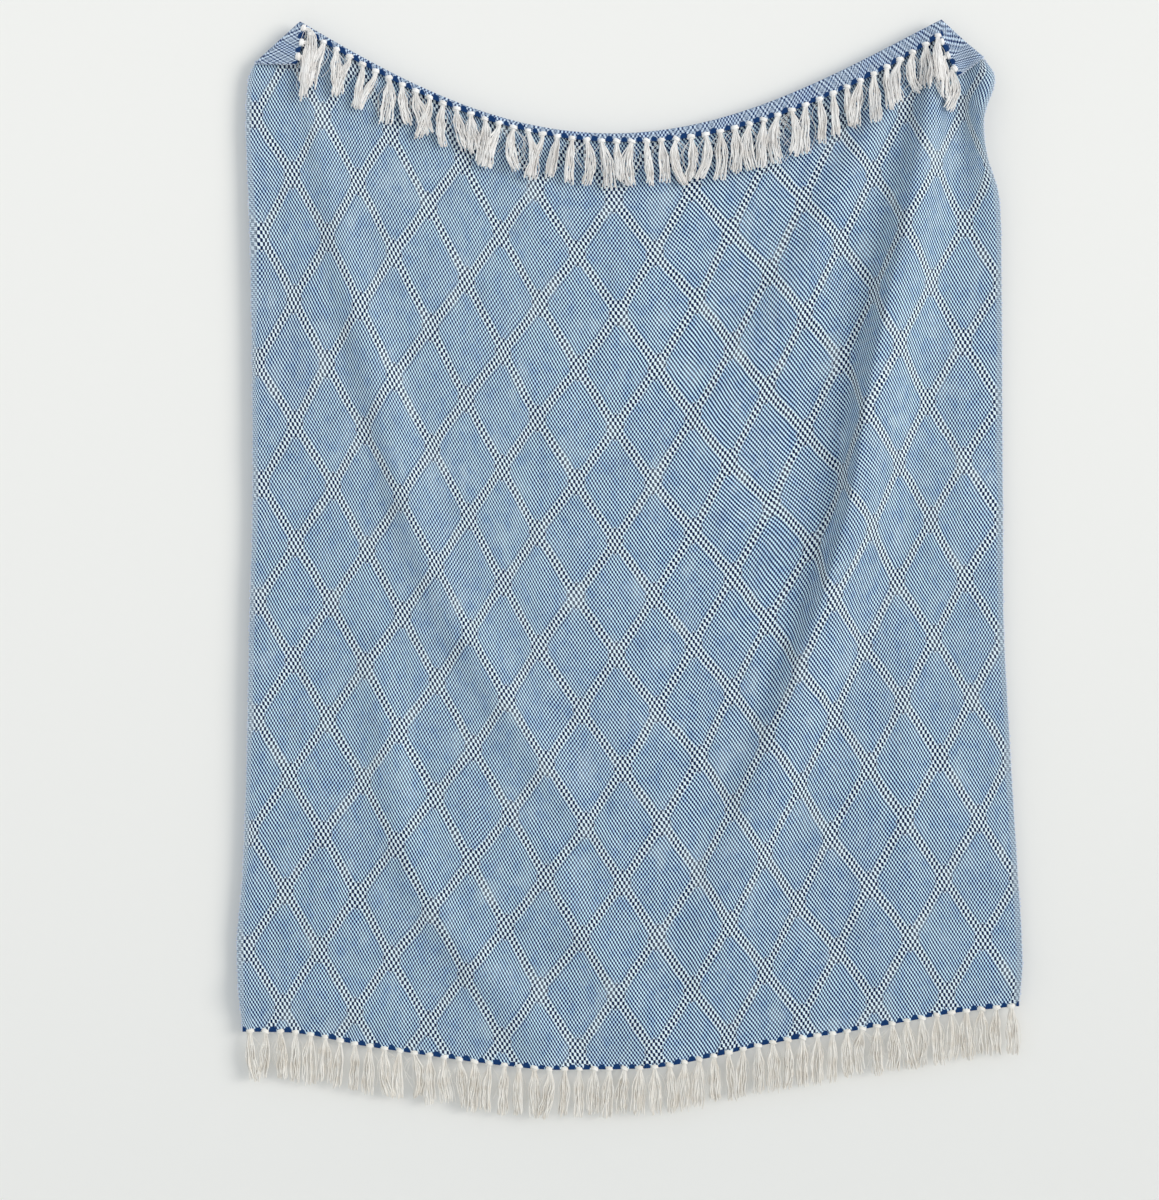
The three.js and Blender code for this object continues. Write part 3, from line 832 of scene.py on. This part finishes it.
def diamond_weave_group():
    """The lattice of the weave: bands of large dots, a ground of small ones, hem spots and selvedges."""
    group, n, given, result = new_group(
        "diamond weave",
        [("Lattice", VECTOR), ("Fringe", VECTOR)]
        + [(name, COLOUR) for name, _, _ in WEAVE_COLOURS]
        + [("Band strength", FLOAT), ("Ground lean", FLOAT), ("Dots all over", FLOAT)],
        [("Color", COLOUR), ("Height", FLOAT)],
    )
    place = given.outputs["Lattice"]
    light = given.outputs["Light"]
    dark = given.outputs["Dark"]
    hem_dark = given.outputs["Hem dark"]
    band_strength = given.outputs["Band strength"]
    lattice = n.add("ShaderNodeSeparateXYZ", {"Vector": place})
    wobble = n.noise(place, WOBBLE_SCALE, 2.0)
    k = n.plus(lattice.outputs["X"], n.times(n.minus(wobble, 0.5), WOBBLE))
    v = lattice.outputs["Y"]
    falling = n.plus(k, v)
    rising = n.minus(k, v)

    def wave(value, count, phase=0.0):
        return n.math("COSINE", n.plus(n.times(value, 2 * math.pi * count), phase))

    def dots(count, phase, lean):
        """Dots in diagonal rows. With a lean they run together along the rising rows."""
        down = n.times(wave(falling, count, phase), n.plus(0.5, lean))
        return n.plus(down, n.times(wave(rising, count, phase), n.minus(0.5, lean)))

    def from_band(value):
        """The distance from the nearest band's middle, in dots."""
        middle = n.minus(n.math("FRACT", value), 0.5)
        return n.math("ABSOLUTE", n.times(middle, BAND_DOTS))

    far_falling = from_band(falling)
    far_rising = from_band(rising)
    in_falling = n.step(far_falling, *FALLING_BAND_EDGE)
    in_rising = n.step(far_rising, *RISING_BAND_EDGE)
    in_crossing = n.times(n.step(far_falling, *CROSSING_EDGE), n.step(far_rising, *CROSSING_EDGE))
    in_band = n.math("MAXIMUM", n.math("MAXIMUM", in_falling, in_rising), in_crossing)
    in_band = n.times(in_band, band_strength)
    in_band = n.math("ABSOLUTE", n.minus(given.outputs["Dots all over"], in_band))

    # In a rising band the dots part more clearly along the band than across it
    big = dots(BAND_DOTS, math.pi, n.times(in_rising, RISING_PARTING))
    big_dots = n.step(big, *BAND_DOT_EDGE)
    drift = n.minus(n.noise(place, DRIFT_SCALE, 1.0), 0.5)
    lean = n.times(given.outputs["Ground lean"], n.plus(1.0, n.times(drift, DRIFT)))
    small_dots = n.step(dots(GROUND_DOTS, 0.0, lean), *GROUND_DOT_EDGE)

    band = n.mix(big_dots, light, dark)
    tinted = n.step(n.noise(place, TINT_SCALE, 4.0, 0.7), *TINT_STEP)
    ground_light = n.mix(tinted, given.outputs["Ground light"], given.outputs["Tint"])
    ground = n.mix(small_dots, ground_light, given.outputs["Ground dark"])
    woven = n.mix(in_band, ground, band)

    def line_beside(far, crossed_by, middle, edge, strength):
        line = n.step(n.math("ABSOLUTE", n.minus(far, middle)), *edge)
        return n.times(line, n.times(n.minus(1.0, crossed_by), strength))

    # Dark lines edge the rising bands, and wider, fainter ones the falling bands
    outside = n.times(n.minus(1.0, in_crossing), band_strength)
    beside_rising = line_beside(far_rising, in_falling, *RISING_LINE)
    beside_falling = line_beside(far_falling, in_rising, *FALLING_LINE)
    worn = n.step(n.noise(place, WEAR_SCALE, 2.0), *WEAR_STEP)
    lines = n.times(n.times(n.math("MAXIMUM", beside_rising, beside_falling), outside), worn)
    woven = n.mix(lines, woven, dark)

    # Patches where the yarns lie a little lighter or darker
    patches = n.noise(place, PATCH_SCALE, 3.0, 0.6)
    woven = n.mix(n.step(patches, *LIGHT_PATCH_STEP), woven, light)
    woven = n.mix(n.step(patches, *DARK_PATCH_STEP), woven, dark)

    # The selvedges are plainer, and the hem has a dark spot between each two knots
    left_in = n.minus(k, LATTICE_AT_SELVEDGES[0])
    right_in = n.minus(LATTICE_AT_SELVEDGES[1], k)
    at_selvedge = n.step(n.math("MINIMUM", left_in, right_in), *SELVEDGE_EDGE)
    ribs = n.step(wave(v, SELVEDGE_RIBS), *SELVEDGE_RIB_STEP)
    woven = n.mix(n.times(at_selvedge, SELVEDGE_SHARE), woven, n.mix(ribs, light, hem_dark))
    fringe = n.add("ShaderNodeSeparateXYZ", {"Vector": given.outputs["Fringe"]})
    past_half = n.plus(fringe.outputs["X"], 0.5)
    aside = n.math("ABSOLUTE", n.minus(n.math("FRACT", past_half), 0.5))
    aside = n.math("POWER", n.times(aside, TASSEL_PITCH / SPOT_HALF_WIDTH), 2.0)
    inward = n.times(n.minus(fringe.outputs["Y"], SPOT_INSET), 1 / SPOT_HALF_HEIGHT)
    inward = n.math("POWER", inward, 2.0)
    uneven = n.add(
        "ShaderNodeTexWhiteNoise", {"W": n.math("FLOOR", past_half)}, noise_dimensions="1D"
    )
    frayed = n.noise(place, SPOT_FRAY_SCALE, 1.0)
    reach = n.plus(SPOT_LEAST, n.times(uneven.outputs["Value"], SPOT_UNEVENNESS))
    reach = n.plus(reach, n.times(frayed, SPOT_FRAYING))
    spots = n.step(n.math("DIVIDE", n.plus(aside, inward), reach), *SPOT_EDGE)
    n.feed(n.mix(spots, woven, hem_dark), result.inputs["Color"])

    fine_yarns = n.times(wave(k, FINE_YARNS_ACROSS), wave(v, FINE_YARNS_ALONG))
    relief = n.times(n.mix(in_band, small_dots, big_dots), DOT_RELIEF)
    n.feed(n.plus(relief, n.times(fine_yarns, FINE_RELIEF)), result.inputs["Height"])
    return group


def cotton_group():
    """Undyed cotton: fibres that run with the yarn, a twist with painted shade in the grooves between its
    plies, and small random changes of tone.
    """
    group, n, given, result = new_group(
        "cotton",
        [("Place", VECTOR), ("Yarn", VECTOR), ("Light", COLOUR), ("Shade", COLOUR)],
        [("Color", COLOUR), ("Height", FLOAT)],
    )
    yarn = n.add("ShaderNodeSeparateXYZ", {"Vector": given.outputs["Yarn"]})
    twist = n.plus(n.times(yarn.outputs["X"], PLY_TURNS), yarn.outputs["Y"])
    plies = n.math("SINE", n.times(twist, 2 * math.pi * PLIES))
    fibres = n.noise(given.outputs["Place"], FIBRE_SCALE, 2.0)
    patches = n.noise(given.outputs["Place"], SHADE_SCALE, 3.0)
    # The grooves between the plies are painted towards the Shade colour as painted shade, while the patches
    # and the fibres change the tone at random
    share = n.plus(n.times(n.step(plies, *PLY_STEP), PLY_GROOVE_PAINTED_SHADE), n.step(patches, *SHADE_STEP))
    share = n.plus(share, n.times(n.minus(fibres, 0.5), FIBRE_SHADE))
    share = n.math("MINIMUM", share, 1.0)
    n.feed(n.mix(share, given.outputs["Light"], given.outputs["Shade"]), result.inputs["Color"])
    n.feed(n.plus(n.times(plies, PLY_RELIEF), fibres), result.inputs["Height"])
    return group


def new_material(name, roughness, gloss, sheen):
    """A matte cloth material, as (material, nodes, its shader)."""
    material = bpy.data.materials.new(name)
    material.use_nodes = True
    nodes = Nodes(material.node_tree)
    shader = material.node_tree.nodes["Principled BSDF"]
    shader.inputs["Roughness"].default_value = roughness
    shader.inputs["Specular IOR Level"].default_value = gloss
    shader.inputs["Sheen Weight"].default_value = sheen
    shader.inputs["Sheen Roughness"].default_value = 0.6
    return material, nodes, shader


def finish_with(nodes, shader, effect, depth):
    """Takes a group's colour and height to the shader."""
    nodes.feed(effect.outputs["Color"], shader.inputs["Base Color"])
    bump = nodes.add(
        "ShaderNodeBump",
        {"Strength": BUMP_STRENGTH, "Distance": depth, "Height": effect.outputs["Height"]},
    )
    nodes.feed(bump.outputs["Normal"], shader.inputs["Normal"])


def woven_material(name, group, colours, band_strength, ground_lean, dots_all_over):
    material, nodes, shader = new_material(name, roughness=0.92, gloss=0.08, sheen=0.04)
    effect = nodes.add("ShaderNodeGroup", node_tree=group)
    for socket, shade in colours.items():
        nodes.feed(colour(*shade), effect.inputs[socket])
    nodes.feed(band_strength, effect.inputs["Band strength"])
    nodes.feed(ground_lean, effect.inputs["Ground lean"])
    nodes.feed(dots_all_over, effect.inputs["Dots all over"])
    for socket, map_name in (("Lattice", "lattice"), ("Fringe", "fringe")):
        nodes.feed(nodes.add("ShaderNodeUVMap", uv_map=map_name).outputs["UV"], effect.inputs[socket])
    finish_with(nodes, shader, effect, WEAVE_DEPTH)
    return material


def yarn_material(name, group, light, shade):
    material, nodes, shader = new_material(name, roughness=0.88, gloss=0.2, sheen=0.2)
    effect = nodes.add(
        "ShaderNodeGroup", {"Light": colour(*light), "Shade": colour(*shade)}, node_tree=group
    )
    nodes.feed(nodes.add("ShaderNodeTexCoord").outputs["Object"], effect.inputs["Place"])
    nodes.feed(nodes.add("ShaderNodeUVMap", uv_map="yarn").outputs["UV"], effect.inputs["Yarn"])
    finish_with(nodes, shader, effect, YARN_DEPTH)
    return material


def new_shape_tree(name):
    """A geometry node tree that takes a geometry and a finish, as (tree, nodes, inputs, outputs)."""
    tree = bpy.data.node_groups.new(name, "GeometryNodeTree")
    for socket_name, way, kind in (
        ("Geometry", "INPUT", "NodeSocketGeometry"),
        ("Finish", "INPUT", "NodeSocketMaterial"),
        ("Geometry", "OUTPUT", "NodeSocketGeometry"),
    ):
        tree.interface.new_socket(name=socket_name, in_out=way, socket_type=kind)
    nodes = Nodes(tree)
    return tree, nodes, nodes.add("NodeGroupInput"), nodes.add("NodeGroupOutput")


def end_shape_tree(nodes, given, result, geometry):
    """Ends a tree with smooth shading, real meshes and the finish."""
    shaded = nodes.add("GeometryNodeSetShadeSmooth", {"Geometry": geometry})
    real = nodes.add("GeometryNodeRealizeInstances", {"Geometry": shaded.outputs[0]})
    finished = nodes.add("GeometryNodeSetMaterial", {"Geometry": real.outputs[0]})
    nodes.feed(given.outputs["Finish"], finished.inputs["Material"])
    nodes.feed(finished.outputs[0], result.inputs["Geometry"])


def named_value(nodes, name, kind):
    named = nodes.add("GeometryNodeInputNamedAttribute", {"Name": name}, data_type=kind)
    return named.outputs["Attribute"]


def end_with_copies(nodes, given, result, shape):
    """Ends a tree with a copy of a shape at every point, turned and sized by the point's values."""
    turn = named_value(nodes, "turn", "FLOAT_VECTOR")
    placed = nodes.add(
        "GeometryNodeInstanceOnPoints",
        {
            "Points": given.outputs["Geometry"],
            "Instance": shape,
            "Rotation": nodes.add("FunctionNodeEulerToRotation", {"Euler": turn}).outputs[0],
            "Scale": named_value(nodes, "size", "FLOAT_VECTOR"),
        },
    )
    end_shape_tree(nodes, given, result, placed.outputs[0])


def swept(nodes, curve, ring, scale=1.0):
    """The closed tube that a ring makes along a curve."""
    inputs = {"Curve": curve, "Profile Curve": ring, "Scale": scale, "Fill Caps": True}
    return nodes.add("GeometryNodeCurveToMesh", inputs).outputs[0]


def round_profile(nodes, radius, sides):
    circle = nodes.add("GeometryNodeCurvePrimitiveCircle", {"Radius": radius, "Resolution": sides})
    return circle.outputs[0]


def yarns_tree():
    """Sweeps a round yarn along each run of edges."""
    tree, n, given, result = new_shape_tree("yarns")

    def with_share(curve, name):
        """A curve that keeps, under a name, how far along it each place lies."""
        kept = n.add("GeometryNodeCaptureAttribute")
        kept.capture_items.new("FLOAT", name)
        n.feed(curve, kept.inputs["Geometry"])
        n.feed(n.add("GeometryNodeSplineParameter").outputs["Factor"], kept.inputs[name])
        return kept.outputs

    lines = n.add("GeometryNodeMeshToCurve", {0: given.outputs["Geometry"]})
    line = with_share(lines.outputs[0], "Along")
    ring = with_share(round_profile(n, 1.0, YARN_SIDES), "Around")
    radius = n.times(named_value(n, "thick", "FLOAT"), YARN_RADIUS)
    tube = swept(n, line["Geometry"], ring["Geometry"], radius)
    place = n.add("ShaderNodeCombineXYZ", {"X": line["Along"], "Y": ring["Around"]})
    mapped = n.add(
        "GeometryNodeStoreNamedAttribute",
        {"Geometry": tube, "Name": "yarn"},
        data_type="FLOAT2",
        domain="CORNER",
    )
    n.feed(place.outputs[0], mapped.inputs["Value"])
    end_shape_tree(n, given, result, mapped.outputs[0])
    return tree


def knots_tree():
    """A knot at every point: a round core with the bunch wound about it."""
    tree, n, given, result = new_shape_tree("knots")
    core = n.add("GeometryNodeMeshUVSphere", {"Segments": 8, "Rings": 6, "Radius": KNOT_RADIUS})
    coil = n.add(
        "GeometryNodeCurveSpiral",
        {
            "Resolution": 8,
            "Rotations": KNOT_TURNS,
            "Start Radius": KNOT_RADIUS * KNOT_COIL[0],
            "End Radius": KNOT_RADIUS * KNOT_COIL[1],
            "Height": KNOT_RADIUS * KNOT_COIL_HEIGHT,
        },
    )
    wound = swept(n, coil.outputs[0], round_profile(n, KNOT_RADIUS * KNOT_COIL_THICKNESS, 6))
    lift = (0, 0, -KNOT_RADIUS * KNOT_COIL_HEIGHT / 2)
    centred = n.add("GeometryNodeTransform", {"Geometry": wound, "Translation": lift})
    joined = n.add("GeometryNodeJoinGeometry")
    n.tree.links.new(core.outputs["Mesh"], joined.inputs[0])
    n.tree.links.new(centred.outputs[0], joined.inputs[0])
    end_with_copies(n, given, result, joined.outputs[0])
    return tree


def loops_tree():
    """A small loop of weft yarn at every point."""
    tree, n, given, result = new_shape_tree("selvedge loops")
    arc = n.add(
        "GeometryNodeCurveArc",
        {
            "Resolution": 7,
            "Radius": LOOP_RADIUS,
            "Start Angle": math.radians(-LOOP_SWEEP / 2),
            "Sweep Angle": math.radians(LOOP_SWEEP),
        },
    )
    loop = swept(n, arc.outputs[0], round_profile(n, LOOP_YARN_RADIUS, 4))
    end_with_copies(n, given, result, loop)
    return tree


def source_mesh(name, points, edges, values):
    """A bare mesh of points and edges with named values on its points."""
    mesh = bpy.data.meshes.new(name)
    mesh.from_pydata([tuple(p) for p in points], edges, [])
    for value_name, (kind, field, listed) in values.items():
        attribute = mesh.attributes.new(value_name, kind, "POINT")
        attribute.data.foreach_set(field, np.array(listed, float).reshape(-1))
    return new_object(name, mesh)


def source_points(name, points, turns, sizes):
    """Bare points, each with the turn and the size of the copy that goes there."""
    values = {
        "turn": ("FLOAT_VECTOR", "vector", turns),
        "size": ("FLOAT_VECTOR", "vector", sizes),
    }
    return source_mesh(name, points, [], values)


def run_tree(source, tree, finish):
    """The plain mesh that a tree makes from a source object, which is then removed."""
    modifier = source.modifiers.new("shape", "NODES")
    modifier.node_group = tree
    modifier[tree.interface.items_tree["Finish"].identifier] = finish
    shaped = source.evaluated_get(bpy.context.evaluated_depsgraph_get())
    mesh = bpy.data.meshes.new_from_object(shaped)
    bpy.data.objects.remove(source)
    return mesh


def joined_piece(name, meshes):
    """One object from several meshes that share their materials' order."""
    parts = [new_object(name, mesh) for mesh in meshes]
    with bpy.context.temp_override(
        active_object=parts[0],
        object=parts[0],
        selected_objects=parts,
        selected_editable_objects=parts,
    ):
        bpy.ops.object.join()
    parts[0].name = name
    return parts[0]


def edge_stations(edge_at, left, right):
    """The x of each tassel's knot along a fringed edge, evenly spaced by length."""
    xs = [between(left, right, i / EDGE_SAMPLES) for i in range(EDGE_SAMPLES + 1)]
    lengths = running_lengths([edge_at(x, STRIP_WIDTH) for x in xs])
    targets = [lengths[-1] * (n + 0.5) / TASSELS_PER_END for n in range(TASSELS_PER_END)]
    return np.interp(targets, lengths, xs).tolist()


def yarn_path(root, outward, heading, length, aside, bend, clear, draw):
    """One yarn from its knot: it leaves outwards, turns to its heading and hangs, with a slight wave."""
    waves = draw.uniform(*YARN_WAVES)
    phase = draw.uniform(0, 2 * math.pi)
    sway = draw.uniform(*YARN_SWAY)
    layer = draw.uniform(*YARN_LAYER)
    turn_share = draw.uniform(*YARN_TURN)
    at = Vector((root.x, root.z))
    step = length / (YARN_STEPS - 1)
    points = []
    for i in range(YARN_STEPS):
        share = i / (YARN_STEPS - 1)
        opened = smooth(share * YARN_SPREADING)
        swing = sway * math.sin(2 * math.pi * waves * share + phase) * smooth(share * YARN_SWAYING)
        px = at.x + aside * opened ** YARN_SPREAD_CURVE + swing + bend * math.sin(math.pi * share)
        points.append(Vector((px, between(root.y, clear(px, at.y) + layer, opened), at.y)))
        turned = smooth((share + YARN_TURN_LEAD) / turn_share)
        at = at + outward.lerp(heading, turned).normalized() * step
    return points


def tassel(seat, outward, lean, length, spread, bend, strays, clear, draw):
    """The yarns of one tassel and its stray fibres, as (points, thickness)."""
    heading = Vector((lean, -1)).normalized()
    beside = Vector((outward.y, -outward.x))
    yarns = []
    for j in range(YARNS_PER_TASSEL):
        fan = 2 * j / (YARNS_PER_TASSEL - 1) - 1
        fan += draw.uniform(*YARN_FAN)
        root = seat.copy()
        root.x += beside.x * fan * ROOT_HALF_WIDTH
        root.z += beside.y * fan * ROOT_HALF_WIDTH
        root.y += draw.uniform(*ROOT_DEPTH)
        own_length = length * draw.uniform(*YARN_LENGTH)
        points = yarn_path(root, outward, heading, own_length, -fan * spread, bend, clear, draw)
        yarns.append((points, draw.uniform(*YARN_THICKNESS)))
    for _ in range(strays):
        aside = draw.uniform(-1, 1) * spread * STRAY_SPREAD
        own_length = length * draw.uniform(*STRAY_LENGTH)
        points = yarn_path(seat, outward, heading, own_length, aside, STRAY_BEND * bend, clear, draw)
        yarns.append((points, FLYAWAY_RADIUS / YARN_RADIUS))
    return yarns


def top_lean(n, x):
    """How the upper fringe's tassel n, with its knot at x, leans."""
    pair = 0.0
    if PAIRED_TASSELS[0] <= n <= PAIRED_TASSELS[1]:
        pair = PAIR_LEAN if n % 2 else -PAIR_LEAN
    return read_table(TOP_LEAN, x)[1] + pair


def fringe_piece(name, edge_at, left, right, lean_at, clear_at, manner, finish, trees, seed):
    """One fringe: a knot at every station of a fringed edge and the yarns that hang from it."""
    draw = random.Random(seed)
    yarns, knots, turns, sizes = [], [], [], []
    for n, x in enumerate(edge_stations(edge_at, left, right)):
        knot = edge_at(x, STRIP_WIDTH - KNOT_INSET)
        ahead = edge_at(x, STRIP_WIDTH + KNOT_AHEAD)
        outward = Vector((ahead.x - knot.x, ahead.z - knot.z)).normalized()
        lean = lean_at(n, x) + draw.gauss(0, manner["lean"])
        length = TASSEL_LENGTH * draw.uniform(*manner["length"])
        spread = draw.uniform(*manner["spread"])
        bend = draw.gauss(0, manner["bend"])
        strays = manner["strays"]
        seat = knot + Vector((outward.x, 0, outward.y)) * KNOT_TO_YARNS
        yarns += tassel(seat, outward, lean, length, spread, bend, strays, clear_at(knot), draw)
        knots.append(knot)
        tilt = draw.uniform(*KNOT_TILT)
        turns.append((tilt, math.atan2(outward.x, outward.y) + draw.uniform(*KNOT_TWIST), 0))
        width = draw.uniform(*KNOT_WIDTH)
        depth = draw.uniform(*KNOT_DEPTH)
        sizes.append((width, depth, draw.uniform(*KNOT_HEIGHT)))
    points, edges, thick = [], [], []
    for path, thickness in yarns:
        start = len(points)
        points += path
        edges += [(start + i, start + i + 1) for i in range(len(path) - 1)]
        thick += [thickness] * len(path)
    lines = source_mesh(name + "_lines", points, edges, {"thick": ("FLOAT", "value", thick)})
    yarn_mesh = run_tree(lines, trees["yarns"], finish)
    spots = source_points(name + "_spots", knots, turns, sizes)
    knot_mesh = run_tree(spots, trees["knots"], finish)
    return joined_piece(name, [yarn_mesh, knot_mesh])


def selvedge_loops(rows, finish, tree, seed):
    """The small loops of weft that stand out along both selvedges."""
    draw = random.Random(seed)
    points, turns, sizes = [], [], []
    pitch = LATTICE_PITCH_ALONG / LOOPS_PER_PERIOD
    for column, beside in ((0, 1), (-1, -2)):
        line = [row[column] for row in rows]
        inner = [row[beside] for row in rows]
        lengths = running_lengths(line)
        targets = np.arange(pitch / 2, lengths[-1], pitch)

        def along(points_of_line):
            axes = [np.interp(targets, lengths, [p[a] for p in points_of_line]) for a in range(3)]
            return np.stack(axes, axis=1)

        for place, inside in zip(along(line), along(inner)):
            out = Vector(place - inside).normalized()
            points.append(Vector(place) - out * LOOP_INSET)
            tilt = math.pi / 2 + draw.uniform(*LOOP_TILT)
            turns.append((tilt, math.atan2(-out.z, out.x), 0))
            size = draw.uniform(*LOOP_SIZE)
            sizes.append((size * draw.uniform(*LOOP_WIDTH), size, size))
    source = source_points("selvedge_points", points, turns, sizes)
    return new_object("selvedge_loops", run_tree(source, tree, finish))


# The camera looks straight at the front, at the throw's middle height
FRAME_CENTRE = (0.451, -0.9329)
FRAME_HEIGHT = 1.937
CAMERA_DISTANCE = 4.5
SENSOR = 36.0
# The floor and the backdrop, from left to right and from front to back
FLOOR_X = (-8, 9)
FLOOR_Y = (-9, 9)
FLOOR_Z = -2.0
BACKDROP_X = (-6, 7)
BACKDROP_Y = 0.024
BACKDROP_TOP = 2.5
PANEL_ROUGHNESS = 0.95
PANEL_GLOSS = 0.1


def panel(name, corners, shade):
    """A flat pale panel for the floor or the backdrop."""
    mesh = bpy.data.meshes.new(name)
    mesh.from_pydata(corners, [], [(0, 1, 2, 3)])
    material = bpy.data.materials.new(name)
    material.use_nodes = True
    shader = material.node_tree.nodes["Principled BSDF"]
    shader.inputs["Base Color"].default_value = colour(*shade)
    shader.inputs["Roughness"].default_value = PANEL_ROUGHNESS
    shader.inputs["Specular IOR Level"].default_value = PANEL_GLOSS
    mesh.materials.append(material)
    piece = new_object(name, mesh)
    return piece


def add_camera():
    data = bpy.data.cameras.new("camera")
    data.sensor_width = SENSOR
    data.lens = SENSOR * CAMERA_DISTANCE / FRAME_HEIGHT
    camera = new_object("camera", data)
    camera.location = (FRAME_CENTRE[0], -CAMERA_DISTANCE, FRAME_CENTRE[1])
    camera.rotation_euler = (math.pi / 2, 0, 0)
    bpy.context.scene.camera = camera


def add_sun(name, place, target, tone, strength, angle):
    """A sun with a wide disc, which gives soft-edged shadows."""
    data = bpy.data.lights.new(name, "SUN")
    data.color = tone
    data.energy = strength
    data.angle = math.radians(angle)
    light = new_object(name, data)
    light.location = place
    light.rotation_euler = (Vector(target) - Vector(place)).to_track_quat("-Z", "Y").to_euler()


def add_world(shade, strength):
    world = bpy.data.worlds.new("studio")
    world.use_nodes = True
    background = world.node_tree.nodes["Background"]
    background.inputs["Color"].default_value = colour(*shade)
    background.inputs["Strength"].default_value = strength
    bpy.context.scene.world = world


def add_studio():
    """The pale floor, the backdrop that the throw hangs close to, and the soft light from the right."""
    left, right = FLOOR_X
    near, far = FLOOR_Y
    corners = [(left, near, FLOOR_Z), (right, near, FLOOR_Z), (right, far, FLOOR_Z), (left, far, FLOOR_Z)]
    panel("floor", corners, (236, 236, 234))
    left, right = BACKDROP_X
    low, top = FLOOR_Z, BACKDROP_TOP
    corners = [(x, BACKDROP_Y, z) for x, z in ((left, low), (right, low), (right, top), (left, top))]
    wall = panel("backdrop", corners, (246, 243, 237))
    nodes = Nodes(wall.active_material.node_tree)
    shader = nodes.tree.nodes["Principled BSDF"]
    clear = nodes.add("ShaderNodeBsdfTransparent")
    behind = nodes.add("ShaderNodeNewGeometry").outputs["Backfacing"]
    sides = nodes.add("ShaderNodeMixShader", {0: behind})
    nodes.tree.links.new(shader.outputs[0], sides.inputs[1])
    nodes.tree.links.new(clear.outputs[0], sides.inputs[2])
    nodes.tree.links.new(sides.outputs[0], nodes.tree.nodes["Material Output"].inputs[0])
    for way in ("visible_diffuse", "visible_glossy", "visible_transmission", "visible_shadow"):
        setattr(wall, way, False)
    add_world(shade=(232, 239, 246), strength=0.82)
    add_sun(
        "key",
        place=(4.5, -3.1, -0.4),
        target=(0.5, 0, -0.9),
        tone=(1.0, 0.985, 0.96),
        strength=1.6,
        angle=32,
    )
    bpy.context.scene.view_settings.view_transform = "Standard"


add_camera()
add_studio()

weave = diamond_weave_group()
cotton = cotton_group()
front_finish = woven_material(
    "woven_front",
    weave,
    {name: front for name, front, _ in WEAVE_COLOURS},
    band_strength=1.0,
    ground_lean=0.10,
    dots_all_over=0.0,
)
back_finish = woven_material(
    "woven_back",
    weave,
    {name: back for name, _, back in WEAVE_COLOURS},
    band_strength=0.6,
    ground_lean=0.0,
    dots_all_over=0.5,
)
upper_yarn = yarn_material("undyed_yarn_upper", cotton, light=(255, 252, 248), shade=(228, 220, 212))
lower_yarn = yarn_material("undyed_yarn_lower", cotton, light=(253, 248, 239), shade=(232, 222, 207))
loop_finish = yarn_material("selvedge_yarn", cotton, light=(236, 240, 250), shade=(176, 192, 224))

rows, first_turned = sheet_rows()
edge_places = fringe_map(rows)
scallop(rows, edge_places)
maps = {"lattice": lattice_map(rows, first_turned), "fringe": edge_places}
cloth = closed_sheet("cloth_sheet", rows, maps, [front_finish, back_finish])

trees = {"yarns": yarns_tree(), "knots": knots_tree()}
top_fringe = fringe_piece(
    "top_fringe_yarns",
    edge_at=upper_edge,
    left=LEFT_FOLD_END[0],
    right=RIGHT_FOLD_END[0],
    lean_at=top_lean,
    clear_at=lambda knot: lambda x, z: sheet_y(x, z) - 2 * TURN_RADIUS - TASSEL_CLEARANCE,
    manner=TOP_TASSELS,
    finish=upper_yarn,
    trees=trees,
    seed=11,
)
hem_row = row_of_x(0)
bottom_fringe = fringe_piece(
    "bottom_fringe_yarns",
    edge_at=lower_edge,
    left=hem_row[0][0],
    right=hem_row[-1][0],
    lean_at=lambda n, x: 0.0,
    clear_at=lambda knot: lambda x, z: knot.y,
    manner=LOW_TASSELS,
    finish=lower_yarn,
    trees=trees,
    seed=23,
)
loops = selvedge_loops(rows, loop_finish, loops_tree(), seed=5)

for piece, slot in (
    (cloth, "woven_cloth"),
    (loops, "woven_cloth"),
    (top_fringe, "fringe_yarn"),
    (bottom_fringe, "fringe_yarn"),
):
    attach(piece, "root")
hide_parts("cloth")
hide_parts("top_fringe")
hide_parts("bottom_fringe")
